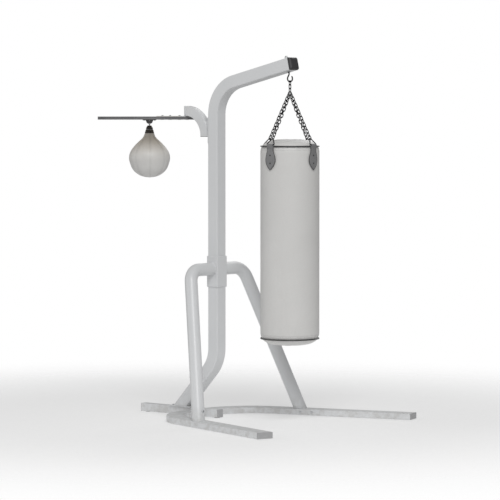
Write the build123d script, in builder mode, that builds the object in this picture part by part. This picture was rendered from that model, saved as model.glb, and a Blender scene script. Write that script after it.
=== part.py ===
"""Free-standing stand for a heavy bag and a speed ball.

Millimetres, +Z up. The floor is Z = 0 and the mast stands on the Z axis. +X is
the side of the heavy bag, -X the side of the speed ball platform.
"""

import math
import os

from build123d import *

# ---- clearances ----
SLIP = 0.25  # one tube slipped inside another, each side
SEAT = 0.3  # faces that meet on different pieces that move, and soft on hard
BOLT_GAP = 0.4  # bolt shank in its hole, on the radius

# ---- mast and arm ----
MAST_X = 75.0
MAST_Y = 80.0
MAST_CORNER = 7.0
MAST_WALL = 3.5
MAST_BEND = 200.0  # centreline radius of both bends
LOW_BEND_Z = 420.0
LOW_BEND_TURN = 43.5
TOP_BEND_Z = 1820.0
ARM_RISE = 13.0  # slope of the arm over the bag
ARM_END_X = 590.0
CAP_NOSE = 20.0

# ---- collar ----
COLLAR_LOW_Z = 788.0
COLLAR_TALL = 186.0
COLLAR_WALL = 5.0
SPLIT_Z = 880.0  # where the two mast pieces meet inside the collar
SET_BOLT = 10.0

# ---- arch legs ----
LEG_OD = 76.0
LEG_WALL = 2.5
LEG_Z = 896.0
LEG_BEND = 92.0
LEG_KNEE_Y = 236.0
LEG_AHEAD = 56.0  # from the base seam back to the leg's foot
STUB_LONG = 90.0
LEG_BOLT = 10.0

# ---- base ----
PAD = 3.0
BASE_WIDE = 104.0
BASE_TALL = 36.0
BASE_WALL = 2.5
BASE_CORNER = 4.0
SPLAY = 17.5  # each runner leaves the spine's direction by this
SEAM_X = 320.0
SEAM_Y = 481.0
RUNNER_LONG = 673.0
BOW_RADIUS = 318.0  # centreline radius of the rounded rear corners
BOW_REAR_X = -132.0
SPINE_WIDE = 50.0
SPINE_TALL = 48.0
SPINE_REAR_X = -600.0
SPINE_FRONT_X = 26.0
FOOT_PLATE = 5.0
FOOT_AHEAD = 34.0
FOOT_BOLT = 8.0
END_CAP = 3.0
SLEEVE_LONG = 150.0
JOINT_BOLT = 8.0

# ---- speed ball platform ----
BOARD_X = -549.0
BOARD_RADIUS = 316.0
BOARD_LOW_Z = 1790.0
BOARD_THICK = 18.0
BAND = 1.5
TONGUE = 4.0
TONGUE_WIDE = 110.0
TONGUE_LONG = 210.0
ELBOW_DEEP = 60.0
ELBOW_WIDE = 40.0
ELBOW_CORNER = 4.0
ELBOW_WALL = 2.5
ELBOW_BEND = 150.0
ELBOW_REACH_X = -236.0
SADDLE = 5.0
SADDLE_WIDE = 70.0
SADDLE_TALL = 160.0
SADDLE_BOLT = 8.0
BOARD_BOLT = 8.0

# ---- speed ball ----
SWIVEL_PLATE = 4.0
SWIVEL_PLATE_R = 42.0
SWIVEL_CUP_R = 22.0
SWIVEL_DROP = 19.0  # ball centre below the board
SWIVEL_BALL = 11.0
SOCKET_GAP = 0.3
PIN_FIT = 0.05  # running fit of pins and stem, on the radius
PIN = 6.0
STEM = 8.0
PIN_DROP = 26.0  # cross pin below the ball centre
SPEED_R = 127.0
SPEED_WIDE_Z = 1553.0
SPEED_LOW_Z = 1436.0
SPEED_NECK_R = 21.0
SPEED_SKIN = 3.0

# ---- heavy bag ----
HANG_X = 571.0
BAG_R = 175.0
BAG_LOW_Z = 508.0
BAG_HIGH_Z = 1634.0
BAG_SKIN = 3.5
CAP_RISE = 39.0
RIM_R = 165.0
RIM_CURVE = 34.0
PIPE = 4.0
TAB_THICK = 3.5
TAB_TOP_WIDE = 43.0
TAB_WIDE = 71.0
TAB_LONG = 136.0
TAB_RIVET = 10.0

# ---- hook, rings and chain ----
HOOK_WIRE = 8.0
HOOK_RING = 18.5
HOOK_DROP = 42.0  # ring centre below the arm's underside, along the bolt
LINK_WIRE = 5.0
LINK_WIDE_IN = 8.8
LINK_LONG_IN = 21.9
LINK_GAP = 0.3
LINK_COUNT = 14
RING_WIRE = 5.5
RING_R = 13.5
TRIANGLE_WIRE = 6.0
TRIANGLE_BASE = 62.0
TRIANGLE_TALL = 44.0
TRIANGLE_LEAN = 33.0
TRIANGLE_CORNER = 6.0

BASE_TOP = PAD + BASE_TALL
SPINE_TOP = PAD + SPINE_TALL
MAST_FOOT_Z = SPINE_TOP + FOOT_PLATE
BOARD_TOP = BOARD_LOW_Z + BOARD_THICK
BAG_MID_Z = (BAG_LOW_Z + BAG_HIGH_Z) / 2

os.makedirs("parts", exist_ok=True)


def save(part, label):
    """Label a finished piece and write it to its own file."""
    part.label = label
    export_step(part, f"parts/{label}.step")


def tube_section(wide, tall, corner, wall):
    """Rounded rectangular tube section, added to the sketch in progress."""
    RectangleRounded(wide, tall, corner)
    RectangleRounded(wide - 2 * wall, tall - 2 * wall, max(corner - wall, 0.8), mode=Mode.SUBTRACT)


def bolt(radius, long, across, tall):
    """Hex bolt: head above the XY plane, shank below it."""
    with BuildPart() as made:
        with BuildSketch():
            RegularPolygon(across / 2, 6, major_radius=False)
        extrude(amount=tall)
        chamfer(made.faces().sort_by(Axis.Z)[-1].edges(), 0.08 * across)
        with BuildSketch():
            Circle(radius)
        extrude(amount=-long)
    return made.part


def button(radius, long, head, tall):
    """Round-headed screw: domed head above the XY plane, shank below it."""
    with BuildPart() as made:
        with BuildSketch():
            Circle(head)
        extrude(amount=tall)
        fillet(made.faces().sort_by(Axis.Z)[-1].edges(), 0.8 * tall)
        with BuildSketch():
            Circle(radius)
        extrude(amount=-long)
    return made.part


def nut(bore, across, tall):
    """Plain hex nut standing on the XY plane."""
    with BuildPart() as made:
        with BuildSketch():
            RegularPolygon(across / 2, 6, major_radius=False)
            Circle(bore, mode=Mode.SUBTRACT)
        extrude(amount=tall)
    return made.part


# ======================= mast =======================
with BuildLine(Plane.XZ) as lower_path:
    low_up = Line((0, SPLIT_Z - SLIP), (0, LOW_BEND_Z))
    low_arc = JernArc(low_up @ 1, tangent=(0, -1), radius=MAST_BEND, arc_size=-LOW_BEND_TURN)
    low_drop = (low_arc @ 1).Z - MAST_FOOT_Z
    low_run = low_drop / math.cos(math.radians(LOW_BEND_TURN)) + MAST_X
    PolarLine(low_arc @ 1, low_run, angle=-90 - LOW_BEND_TURN)
MAST_FOOT_X = (low_arc @ 1).X - low_drop * math.tan(math.radians(LOW_BEND_TURN))
FOOT_HALF = MAST_X / math.cos(math.radians(LOW_BEND_TURN)) / 2

with BuildLine(Plane.XZ) as upper_path:
    up_line = Line((0, SPLIT_Z + SLIP), (0, TOP_BEND_Z))
    up_arc = JernArc(up_line @ 1, tangent=(0, 1), radius=MAST_BEND, arc_size=-(90 - ARM_RISE))
    arm_long = (ARM_END_X - (up_arc @ 1).X) / math.cos(math.radians(ARM_RISE))
    PolarLine(up_arc @ 1, arm_long, angle=ARM_RISE)

ARM_START = up_arc @ 1
ARM_DIR = Vector(math.cos(math.radians(ARM_RISE)), 0, math.sin(math.radians(ARM_RISE)))
ARM_DOWN = Vector(ARM_DIR.Z, 0, -ARM_DIR.X)
HOOK_REACH = MAST_X / 2 + HOOK_DROP
HOOK_ALONG = (HANG_X - ARM_START.X - HOOK_REACH * ARM_DOWN.X) / ARM_DIR.X
BOLT_MID = ARM_START + ARM_DIR * HOOK_ALONG
HOOK_C = BOLT_MID + ARM_DOWN * HOOK_REACH
END_PLANE = Plane(ARM_START + ARM_DIR * arm_long, x_dir=(0, 1, 0), z_dir=ARM_DIR)

COLLAR_MID_Z = COLLAR_LOW_Z + COLLAR_TALL / 2
COLLAR_IN_X = MAST_X + 2 * SLIP
COLLAR_IN_Y = MAST_Y + 2 * SLIP
COLLAR_OUT_X = COLLAR_IN_X + 2 * COLLAR_WALL
COLLAR_OUT_Y = COLLAR_IN_Y + 2 * COLLAR_WALL
COLLAR_BOLT_UP = COLLAR_TALL / 2 - 30
ELBOW_Z = BOARD_TOP + TONGUE + ELBOW_DEEP / 2 - ELBOW_BEND
SADDLE_Z = ELBOW_Z + 34
SADDLE_BOLT_UP = SADDLE_TALL / 2 - 14


def rear_plane(x, z):
    """Plane on a rear face, looking out along -X."""
    return Plane((x, 0, z), x_dir=(0, 1, 0), z_dir=(-1, 0, 0))


with BuildPart() as lower_mast:
    with BuildSketch(Plane.XY.offset(SPLIT_Z - SLIP)):
        tube_section(MAST_X, MAST_Y, MAST_CORNER, MAST_WALL)
    sweep(path=lower_path.line)
    split(bisect_by=Plane.XY.offset(MAST_FOOT_Z), keep=Keep.TOP)
    with Locations(rear_plane(-MAST_X / 2, COLLAR_MID_Z - COLLAR_BOLT_UP)):
        Cylinder(SET_BOLT / 2 + BOLT_GAP, 4 * MAST_WALL, mode=Mode.SUBTRACT)
save(lower_mast.part, "lower_mast")

with BuildPart() as upper_mast:
    with BuildSketch(Plane.XY.offset(SPLIT_Z + SLIP)):
        tube_section(MAST_X, MAST_Y, MAST_CORNER, MAST_WALL)
    sweep(path=upper_path.line)
    with Locations(rear_plane(-MAST_X / 2, COLLAR_MID_Z + COLLAR_BOLT_UP)):
        Cylinder(SET_BOLT / 2 + BOLT_GAP, 4 * MAST_WALL, mode=Mode.SUBTRACT)
    with Locations(
        rear_plane(-MAST_X / 2, SADDLE_Z - SADDLE_BOLT_UP),
        rear_plane(-MAST_X / 2, SADDLE_Z + SADDLE_BOLT_UP),
    ):
        Cylinder(SADDLE_BOLT / 2 + BOLT_GAP, 4 * MAST_WALL, mode=Mode.SUBTRACT)
    with Locations(Plane(BOLT_MID, x_dir=(0, 1, 0), z_dir=ARM_DOWN)):
        Cylinder(6 + BOLT_GAP, 2 * MAST_X, mode=Mode.SUBTRACT)
save(upper_mast.part, "upper_mast")

PLUG_WIDE = MAST_Y - 2 * MAST_WALL - 2 * SLIP
PLUG_TALL = MAST_X - 2 * MAST_WALL - 2 * SLIP
with BuildPart() as arm_end_cap:
    with BuildSketch(END_PLANE):
        RectangleRounded(MAST_Y, MAST_X, MAST_CORNER)
    extrude(amount=CAP_NOSE)
    fillet(arm_end_cap.faces().sort_by(Axis((0, 0, 0), ARM_DIR))[-1].edges(), CAP_NOSE - 2)
    with BuildSketch(END_PLANE):
        RectangleRounded(PLUG_WIDE, PLUG_TALL, MAST_CORNER - MAST_WALL)
        RectangleRounded(PLUG_WIDE - 8, PLUG_TALL - 8, 1, mode=Mode.SUBTRACT)
    extrude(amount=-26)
save(arm_end_cap.part, "arm_end_cap")

# ======================= collar =======================
LEG_IN_R = LEG_OD / 2 - LEG_WALL
with BuildPart() as collar:
    with BuildSketch(Plane.XY.offset(COLLAR_LOW_Z)):
        RectangleRounded(COLLAR_OUT_X, COLLAR_OUT_Y, MAST_CORNER)
    extrude(amount=COLLAR_TALL)
    chamfer(collar.faces().filter_by(Axis.Z).edges(), 2.5)
    with BuildSketch(Plane.XY.offset(COLLAR_LOW_Z)):
        RectangleRounded(COLLAR_IN_X, COLLAR_IN_Y, MAST_CORNER)
    extrude(amount=COLLAR_TALL, mode=Mode.SUBTRACT)
    for side in (-1, 1):
        with BuildSketch(Plane((0, side * COLLAR_OUT_Y / 2, LEG_Z), x_dir=(1, 0, 0), z_dir=(0, side, 0))):
            Circle(LEG_IN_R - SLIP)
            Circle(LEG_IN_R - SLIP - 3, mode=Mode.SUBTRACT)
        extrude(amount=62)
        with Locations(Plane((0, side * (COLLAR_OUT_Y / 2 + 32), LEG_Z), z_dir=(0, 0, -1))):
            Cylinder(
                LEG_BOLT / 2 + BOLT_GAP,
                LEG_OD,
                align=(Align.CENTER, Align.CENTER, Align.MIN),
                mode=Mode.SUBTRACT,
            )
    with Locations(
        rear_plane(-COLLAR_OUT_X / 2, COLLAR_MID_Z - COLLAR_BOLT_UP),
        rear_plane(-COLLAR_OUT_X / 2, COLLAR_MID_Z + COLLAR_BOLT_UP),
    ):
        Cylinder(SET_BOLT / 2 + BOLT_GAP, 3 * COLLAR_WALL, mode=Mode.SUBTRACT)
save(collar.part, "collar")

with BuildPart() as collar_bolts:
    with Locations(
        rear_plane(-COLLAR_OUT_X / 2, COLLAR_MID_Z - COLLAR_BOLT_UP),
        rear_plane(-COLLAR_OUT_X / 2, COLLAR_MID_Z + COLLAR_BOLT_UP),
    ):
        add(bolt(SET_BOLT / 2, COLLAR_WALL + MAST_WALL + 6, 1.6 * SET_BOLT, 0.65 * SET_BOLT))
save(collar_bolts.part, "collar_bolts")

# ======================= base =======================
SPLAY_COS = math.cos(math.radians(SPLAY))
SPLAY_SIN = math.sin(math.radians(SPLAY))
BASE_MID = PAD + BASE_TALL / 2
CORNER_Y = SEAM_Y - (SEAM_X - BOW_REAR_X) * SPLAY_SIN / SPLAY_COS
LEG_FOOT_X = SEAM_X - LEG_AHEAD * SPLAY_COS
LEG_FOOT_Y = SEAM_Y - LEG_AHEAD * SPLAY_SIN
LEG_SLOPE = math.hypot(LEG_FOOT_X, LEG_Z - BASE_TOP)


def seam_plane(side):
    """Plane across the base tube at the seam, looking forward."""
    ahead = (SPLAY_COS, side * SPLAY_SIN, 0)
    inward = (SPLAY_SIN, -side * SPLAY_COS, 0)
    return Plane((SEAM_X, side * SEAM_Y, BASE_MID), x_dir=inward, z_dir=ahead)


def side_plane(side, along, out):
    """Plane on the inner side of the base tube, looking inward."""
    flat = seam_plane(side)
    return Plane(flat.origin + flat.z_dir * along + flat.x_dir * out, x_dir=flat.z_dir, z_dir=flat.x_dir)


def leg_plane(side):
    """Plane of one arch leg: x runs out along side * Y, y runs up the lean."""
    out = Vector(0, side, 0)
    up = Vector(-LEG_FOOT_X, 0, LEG_Z - BASE_TOP).normalized()
    return Plane((0, 0, LEG_Z), x_dir=out, z_dir=out.cross(up))


def leg_foot_plane(side):
    """Plane at a leg's foot, square to the leg and looking up it."""
    plane = leg_plane(side)
    up = Vector(LEG_KNEE_Y - LEG_FOOT_Y, LEG_SLOPE).normalized()
    along = plane.x_dir * up.X + plane.y_dir * up.Y
    return Plane((LEG_FOOT_X, side * LEG_FOOT_Y, BASE_TOP), x_dir=plane.z_dir, z_dir=along)


INSIDE_WIDE = BASE_WIDE - 2 * BASE_WALL - 2 * SLIP
INSIDE_TALL = BASE_TALL - 2 * BASE_WALL - 2 * SLIP
SLEEVE_WALL = 3.0
JOINT_BOLT_AT = SLEEVE_LONG / 4
for side, name in ((-1, "right"), (1, "left")):
    across = seam_plane(side)
    with BuildLine(Plane.XY.offset(BASE_MID)) as bow_path:
        FilletPolyline(
            (SEAM_X, side * SEAM_Y),
            (BOW_REAR_X, side * CORNER_Y),
            (BOW_REAR_X, side * SPINE_WIDE / 2),
            radius=BOW_RADIUS,
        )
    with BuildPart() as bow:
        with BuildSketch(across):
            tube_section(BASE_WIDE, BASE_TALL, BASE_CORNER, BASE_WALL)
        sweep(path=bow_path.line)
        with Locations(side_plane(side, -JOINT_BOLT_AT, BASE_WIDE / 2)):
            Cylinder(JOINT_BOLT / 2 + BOLT_GAP, 4 * BASE_WALL, mode=Mode.SUBTRACT)
    with BuildPart() as runner:
        with BuildSketch(across):
            tube_section(BASE_WIDE, BASE_TALL, BASE_CORNER, BASE_WALL)
        extrude(amount=RUNNER_LONG - END_CAP)
        with Locations(side_plane(side, JOINT_BOLT_AT, BASE_WIDE / 2)):
            Cylinder(JOINT_BOLT / 2 + BOLT_GAP, 4 * BASE_WALL, mode=Mode.SUBTRACT)
    with BuildPart() as sleeve:
        with BuildSketch(across.offset(-SLEEVE_LONG / 2)):
            tube_section(INSIDE_WIDE, INSIDE_TALL, BASE_CORNER - BASE_WALL, SLEEVE_WALL)
        extrude(amount=SLEEVE_LONG)
        with Locations(
            side_plane(side, -JOINT_BOLT_AT, INSIDE_WIDE / 2),
            side_plane(side, JOINT_BOLT_AT, INSIDE_WIDE / 2),
        ):
            Cylinder(JOINT_BOLT / 2 + BOLT_GAP, 4 * SLEEVE_WALL, mode=Mode.SUBTRACT)
    save(bow.part, f"{name}_bow")
    save(runner.part, f"{name}_runner")
    save(sleeve.part, f"{name}_joint_sleeve")

with BuildPart() as joint_bolts:
    for side in (-1, 1):
        with Locations(
            side_plane(side, -JOINT_BOLT_AT, BASE_WIDE / 2),
            side_plane(side, JOINT_BOLT_AT, BASE_WIDE / 2),
        ):
            add(button(JOINT_BOLT / 2, 2 * BASE_WALL + SLEEVE_WALL, JOINT_BOLT, 0.5 * JOINT_BOLT))
save(joint_bolts.part, "joint_bolts")

with BuildPart() as runner_caps:
    for side in (-1, 1):
        tip = seam_plane(side).offset(RUNNER_LONG - END_CAP)
        with BuildSketch(tip):
            RectangleRounded(BASE_WIDE, BASE_TALL, BASE_CORNER)
        extrude(amount=END_CAP)
        with BuildSketch(tip):
            RectangleRounded(INSIDE_WIDE, INSIDE_TALL, BASE_CORNER - BASE_WALL)
            RectangleRounded(INSIDE_WIDE - 5, INSIDE_TALL - 5, 1, mode=Mode.SUBTRACT)
        extrude(amount=-18)
save(runner_caps.part, "runner_caps")

SPINE_MID = PAD + SPINE_TALL / 2
SPINE_BACK = Plane((SPINE_REAR_X + END_CAP, 0, SPINE_MID), x_dir=(0, 1, 0), z_dir=(-1, 0, 0))
SPINE_NOSE = Plane((SPINE_FRONT_X - END_CAP, 0, SPINE_MID), x_dir=(0, 1, 0), z_dir=(1, 0, 0))
FOOT_BOLT_OUT = FOOT_HALF + 0.6 * FOOT_AHEAD
with BuildPart() as spine_bar:
    with BuildSketch(SPINE_BACK):
        tube_section(SPINE_WIDE, SPINE_TALL, BASE_CORNER, BASE_WALL)
    extrude(amount=-(SPINE_FRONT_X - SPINE_REAR_X - 2 * END_CAP))
    with Locations((MAST_FOOT_X, 0, SPINE_TOP)):
        with GridLocations(2 * FOOT_BOLT_OUT, 0.5 * SPINE_WIDE, 2, 2):
            Cylinder(FOOT_BOLT / 2 + BOLT_GAP, 4 * BASE_WALL, mode=Mode.SUBTRACT)
save(spine_bar.part, "spine_bar")

SPINE_PLUG_WIDE = SPINE_WIDE - 2 * BASE_WALL - 2 * SLIP
SPINE_PLUG_TALL = SPINE_TALL - 2 * BASE_WALL - 2 * SLIP
with BuildPart() as spine_caps:
    for tip in (SPINE_BACK, SPINE_NOSE):
        with BuildSketch(tip):
            RectangleRounded(SPINE_WIDE, SPINE_TALL, BASE_CORNER)
        extrude(amount=END_CAP)
        with BuildSketch(tip):
            RectangleRounded(SPINE_PLUG_WIDE, SPINE_PLUG_TALL, 1.5)
            RectangleRounded(SPINE_PLUG_WIDE - 5, SPINE_PLUG_TALL - 5, 1, mode=Mode.SUBTRACT)
        extrude(amount=-18)
save(spine_caps.part, "spine_caps")

with BuildPart() as mast_foot_plate:
    with BuildSketch(Plane.XY.offset(SPINE_TOP)):
        with Locations((MAST_FOOT_X, 0)):
            RectangleRounded(2 * (FOOT_HALF + FOOT_AHEAD), MAST_Y, 8)
            with GridLocations(2 * FOOT_BOLT_OUT, 0.5 * SPINE_WIDE, 2, 2):
                Circle(FOOT_BOLT / 2 + BOLT_GAP, mode=Mode.SUBTRACT)
    extrude(amount=FOOT_PLATE)
save(mast_foot_plate.part, "mast_foot_plate")

with BuildPart() as foot_bolts:
    with Locations((MAST_FOOT_X, 0, MAST_FOOT_Z)):
        with GridLocations(2 * FOOT_BOLT_OUT, 0.5 * SPINE_WIDE, 2, 2):
            add(bolt(FOOT_BOLT / 2, FOOT_PLATE + BASE_WALL + 8, 1.6 * FOOT_BOLT, 0.6 * FOOT_BOLT))
save(foot_bolts.part, "foot_bolts")

with BuildPart() as base_pads:
    with BuildSketch(Plane.XY):
        Circle(16)
        with Locations((SPINE_REAR_X + 40, 0)):
            Circle(16)
        for side in (-1, 1):
            for along in (RUNNER_LONG - 60, -LEG_AHEAD):
                spot = seam_plane(side).origin + seam_plane(side).z_dir * along
                with Locations((spot.X, spot.Y)):
                    Circle(20)
            with Locations((BOW_REAR_X, side * 90)):
                Circle(20)
    extrude(amount=PAD)
save(base_pads.part, "base_pads")

# ======================= arch legs =======================
LEG_BOLT_UP = 45.0
with BuildPart() as leg_stubs:
    for side in (-1, 1):
        foot = leg_foot_plane(side)
        with BuildSketch(foot.offset(-LEG_OD / 2)):
            Circle(LEG_IN_R - SLIP)
            Circle(LEG_IN_R - SLIP - 3, mode=Mode.SUBTRACT)
        extrude(amount=STUB_LONG + LEG_OD / 2)
        with Locations(Plane(foot.origin + foot.z_dir * LEG_BOLT_UP, z_dir=-foot.x_dir)):
            Cylinder(
                LEG_BOLT / 2 + BOLT_GAP,
                LEG_OD,
                align=(Align.CENTER, Align.CENTER, Align.MIN),
                mode=Mode.SUBTRACT,
            )
    split(bisect_by=Plane.XY.offset(BASE_TOP), keep=Keep.TOP)
save(leg_stubs.part, "leg_stubs")

leg_bolt_planes = []
for side, name in ((-1, "right"), (1, "left")):
    plane = leg_plane(side)
    foot = leg_foot_plane(side)
    over = 60 / LEG_SLOPE
    with BuildLine(plane) as leg_path:
        FilletPolyline(
            (COLLAR_OUT_Y / 2, 0),
            (LEG_KNEE_Y, 0),
            (LEG_FOOT_Y + over * (LEG_FOOT_Y - LEG_KNEE_Y), -LEG_SLOPE - 60),
            radius=LEG_BEND,
        )
    with BuildPart() as leg:
        with BuildSketch(Plane((0, side * COLLAR_OUT_Y / 2, LEG_Z), x_dir=(1, 0, 0), z_dir=(0, side, 0))):
            Circle(LEG_OD / 2)
            Circle(LEG_IN_R, mode=Mode.SUBTRACT)
        sweep(path=leg_path.line)
        split(bisect_by=Plane.XY.offset(BASE_TOP), keep=Keep.TOP)
        with Locations(
            Plane(foot.origin + foot.z_dir * LEG_BOLT_UP, z_dir=-foot.x_dir),
            Plane((0, side * (COLLAR_OUT_Y / 2 + 32), LEG_Z), z_dir=(0, 0, -1)),
        ):
            Cylinder(
                LEG_BOLT / 2 + BOLT_GAP,
                LEG_OD,
                align=(Align.CENTER, Align.CENTER, Align.MIN),
                mode=Mode.SUBTRACT,
            )
    save(leg.part, f"{name}_leg")
    seat = LEG_OD / 2
    heel = foot.origin + foot.z_dir * LEG_BOLT_UP - foot.x_dir * seat
    leg_bolt_planes.append(Plane(heel, z_dir=-foot.x_dir))
    leg_bolt_planes.append(Plane((0, side * (COLLAR_OUT_Y / 2 + 32), LEG_Z - seat), z_dir=(0, 0, -1)))

with BuildPart() as leg_bolts:
    with Locations(*leg_bolt_planes):
        add(button(LEG_BOLT / 2, LEG_WALL + 12, 0.9 * LEG_BOLT, 0.55 * LEG_BOLT))
save(leg_bolts.part, "leg_bolts")

# ======================= hook =======================
BOLT_TOP = BOLT_MID - ARM_DOWN * (MAST_X / 2)
BOLT_LOW = BOLT_MID + ARM_DOWN * (MAST_X / 2)
WASHER = 2.0
NUT_ACROSS = 19.0
with BuildPart() as hook:
    with BuildSketch(Plane(BOLT_TOP - ARM_DOWN * (WASHER + 12), z_dir=ARM_DOWN)):
        Circle(6)
    extrude(amount=MAST_X + WASHER + 12 + 6)
    with BuildLine(Plane.XZ) as hook_path:
        neck = HOOK_C - ARM_DOWN * (HOOK_DROP - 4)
        turn = math.radians(160)
        ring_in = (HOOK_C.X + HOOK_RING * math.cos(turn), HOOK_C.Z + HOOK_RING * math.sin(turn))
        shank = Line((neck.X, neck.Z), (neck.X + 6 * ARM_DOWN.X, neck.Z + 6 * ARM_DOWN.Z))
        bend = Spline(
            shank @ 1,
            ring_in,
            tangents=[(ARM_DOWN.X, ARM_DOWN.Z), (-math.sin(turn), math.cos(turn))],
        )
        JernArc(bend @ 1, tangent=(-math.sin(turn), math.cos(turn)), radius=HOOK_RING, arc_size=238)
    with BuildSketch(Plane(neck, z_dir=ARM_DOWN)):
        Circle(HOOK_WIRE / 2)
    sweep(path=hook_path.line)
    with Locations(hook_path.line @ 1):
        Sphere(HOOK_WIRE / 2)
save(hook.part, "hook")

with BuildPart() as hook_washers:
    for spot, way in ((BOLT_TOP, -1), (BOLT_LOW, 1)):
        with BuildSketch(Plane(spot, z_dir=ARM_DOWN * way)):
            Circle(14)
            Circle(6 + BOLT_GAP, mode=Mode.SUBTRACT)
        extrude(amount=WASHER)
save(hook_washers.part, "hook_washers")

with BuildPart() as hook_nut:
    with BuildSketch(Plane(BOLT_TOP - ARM_DOWN * WASHER, z_dir=ARM_DOWN * -1)):
        RegularPolygon(NUT_ACROSS / 2, 6, major_radius=False)
    extrude(amount=9)
    with BuildSketch(Plane(BOLT_TOP - ARM_DOWN * WASHER, z_dir=ARM_DOWN * -1)):
        Circle(NUT_ACROSS / 2 - 0.5)
    extrude(amount=17)
    fillet(hook_nut.faces().sort_by(Axis((0, 0, 0), ARM_DOWN))[0].edges(), 7)
    with BuildSketch(Plane(BOLT_TOP - ARM_DOWN * WASHER, z_dir=ARM_DOWN * -1)):
        Circle(6 + 0.05)
    extrude(amount=12.5, mode=Mode.SUBTRACT)
save(hook_nut.part, "hook_nut")


# ======================= chain =======================
def chain_link(inside=LINK_LONG_IN):
    """One welded link: long axis X, flat in XY."""
    bend = (LINK_WIDE_IN + LINK_WIRE) / 2
    half = (inside + LINK_WIRE) / 2 - bend
    with BuildPart() as made:
        with BuildLine(Plane.XY) as loop:
            one = Line((-half, -bend), (half, -bend))
            cap = JernArc(one @ 1, tangent=(1, 0), radius=bend, arc_size=180)
            two = Line(cap @ 1, (-half, bend))
            JernArc(two @ 1, tangent=(-1, 0), radius=bend, arc_size=180)
        with BuildSketch(Plane((-half, -bend, 0), z_dir=(1, 0, 0))):
            Circle(LINK_WIRE / 2)
        sweep(path=loop.line)
    return made.part


LINK = chain_link()
LINK_STEP = LINK_LONG_IN - LINK_GAP
LINK_HALF = (LINK_LONG_IN + LINK_WIRE) / 2
HANG_HALF = HOOK_WIRE / 2 + LINK_WIRE / 2 + LINK_GAP
FIRST_Z = HOOK_C.Z - HOOK_RING + HANG_HALF - LINK_HALF
RING_Z = FIRST_Z - 2 * LINK_STEP - LINK_HALF + (LINK_WIRE + RING_WIRE) / 2 + LINK_GAP - RING_R
HOOK_SWING_Z = HOOK_C.Z
SIDE_SWING_Z = FIRST_Z - LINK_LONG_IN / 2 + LINK_WIDE_IN / 2

with BuildPart() as hook_link:
    with Locations(Plane((HANG_X, 0, FIRST_Z), x_dir=(0, 0, 1), z_dir=(1, 0, 0))):
        add(LINK)
save(hook_link.part, "hook_link")

with BuildPart() as drop_links:
    with Locations(
        Plane((HANG_X, 0, FIRST_Z - LINK_STEP), x_dir=(0, 0, 1), z_dir=(0, 1, 0)),
        Plane((HANG_X, 0, FIRST_Z - 2 * LINK_STEP), x_dir=(0, 0, 1), z_dir=(1, 0, 0)),
    ):
        add(LINK)
save(drop_links.part, "drop_links")

with BuildPart() as gather_ring:
    with Locations(Plane((HANG_X, 0, RING_Z), z_dir=(0, 1, 0))):
        Torus(RING_R, RING_WIRE / 2)
save(gather_ring.part, "gather_ring")

TAB_OUT_R = BAG_R + SEAT + TAB_THICK
LOOP_R = TAB_OUT_R - TAB_THICK / 2 + 1
LOOP_Z = BAG_HIGH_Z + 9
LEAN_SIN = math.sin(math.radians(TRIANGLE_LEAN))
LEAN_COS = math.cos(math.radians(TRIANGLE_LEAN))
APEX_R = LOOP_R - TRIANGLE_TALL * LEAN_SIN
APEX_Z = LOOP_Z + TRIANGLE_TALL * LEAN_COS

# name, turn about the bag's axis, place on the ring from its lowest point, first turn, extra twist
CHAINS = (
    ("front_chain", 0, 66, 90, 0),
    ("left_chain", 90, 22, 0, 90),
    ("rear_chain", 180, -66, 90, 0),
    ("right_chain", 270, -22, 0, 90),
)
for name, turn, place, first, twist in CHAINS:
    around = math.radians(turn)
    out = Vector(math.cos(around), math.sin(around), 0)
    level = Vector(-out.Y, out.X, 0)
    hang = Vector(
        HANG_X + RING_R * math.sin(math.radians(place)),
        0,
        RING_Z - RING_R * math.cos(math.radians(place)),
    )
    apex = Vector(HANG_X + APEX_R * out.X, APEX_R * out.Y, APEX_Z)
    along = (apex - hang).normalized()
    ring_way = Vector(math.cos(math.radians(place)), 0, math.sin(math.radians(place)))
    square = math.sqrt(1 - along.dot(ring_way) ** 2)
    ring_hold = ((RING_WIRE + LINK_WIRE) / 2 + 1.5 * LINK_GAP) / square
    reach = (apex - hang).length + ring_hold + (TRIANGLE_WIRE + LINK_WIRE) / 2 + LINK_GAP + LINK_WIRE
    step = (reach - 2 * LINK_HALF) / (LINK_COUNT - 1)
    begin = hang - along * (ring_hold + LINK_WIRE / 2 - LINK_HALF)
    flat = (level - along * level.dot(along)).normalized()
    steep = along.cross(flat)
    places = []
    for i in range(LINK_COUNT):
        tilt = math.radians(first + 90 * i + twist * i / (LINK_COUNT - 1))
        normal = flat * math.cos(tilt) + steep * math.sin(tilt)
        places.append(Plane(begin + along * (i * step), x_dir=along, z_dir=normal))
    with BuildPart() as chain:
        with Locations(*places):
            add(LINK)
    save(chain.part, name)

# ======================= triangles and tabs =======================
PEAK = TRIANGLE_TALL
for _ in range(12):
    half_angle = math.atan(TRIANGLE_BASE / 2 / PEAK)
    PEAK = TRIANGLE_TALL + TRIANGLE_CORNER / math.sin(half_angle) - TRIANGLE_CORNER
with BuildPart() as triangle_rings:
    for turn in range(0, 360, 90):
        around = math.radians(turn)
        out = Vector(math.cos(around), math.sin(around), 0)
        level = Vector(-out.Y, out.X, 0)
        up = Vector(-out.X * LEAN_SIN, -out.Y * LEAN_SIN, LEAN_COS)
        flat = Plane(Vector(HANG_X, 0, LOOP_Z) + out * LOOP_R, x_dir=level, z_dir=level.cross(up))
        half = TRIANGLE_BASE / 2
        with BuildLine(flat) as loop:
            FilletPolyline((0, 0), (half, 0), (0, PEAK), (-half, 0), (-1, 0), radius=TRIANGLE_CORNER)
            Line((-1, 0), (0, 0))
        with BuildSketch(Plane(flat.origin, z_dir=level)):
            Circle(TRIANGLE_WIRE / 2)
        sweep(path=loop.line)
save(triangle_rings.part, "triangle_rings")

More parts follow.
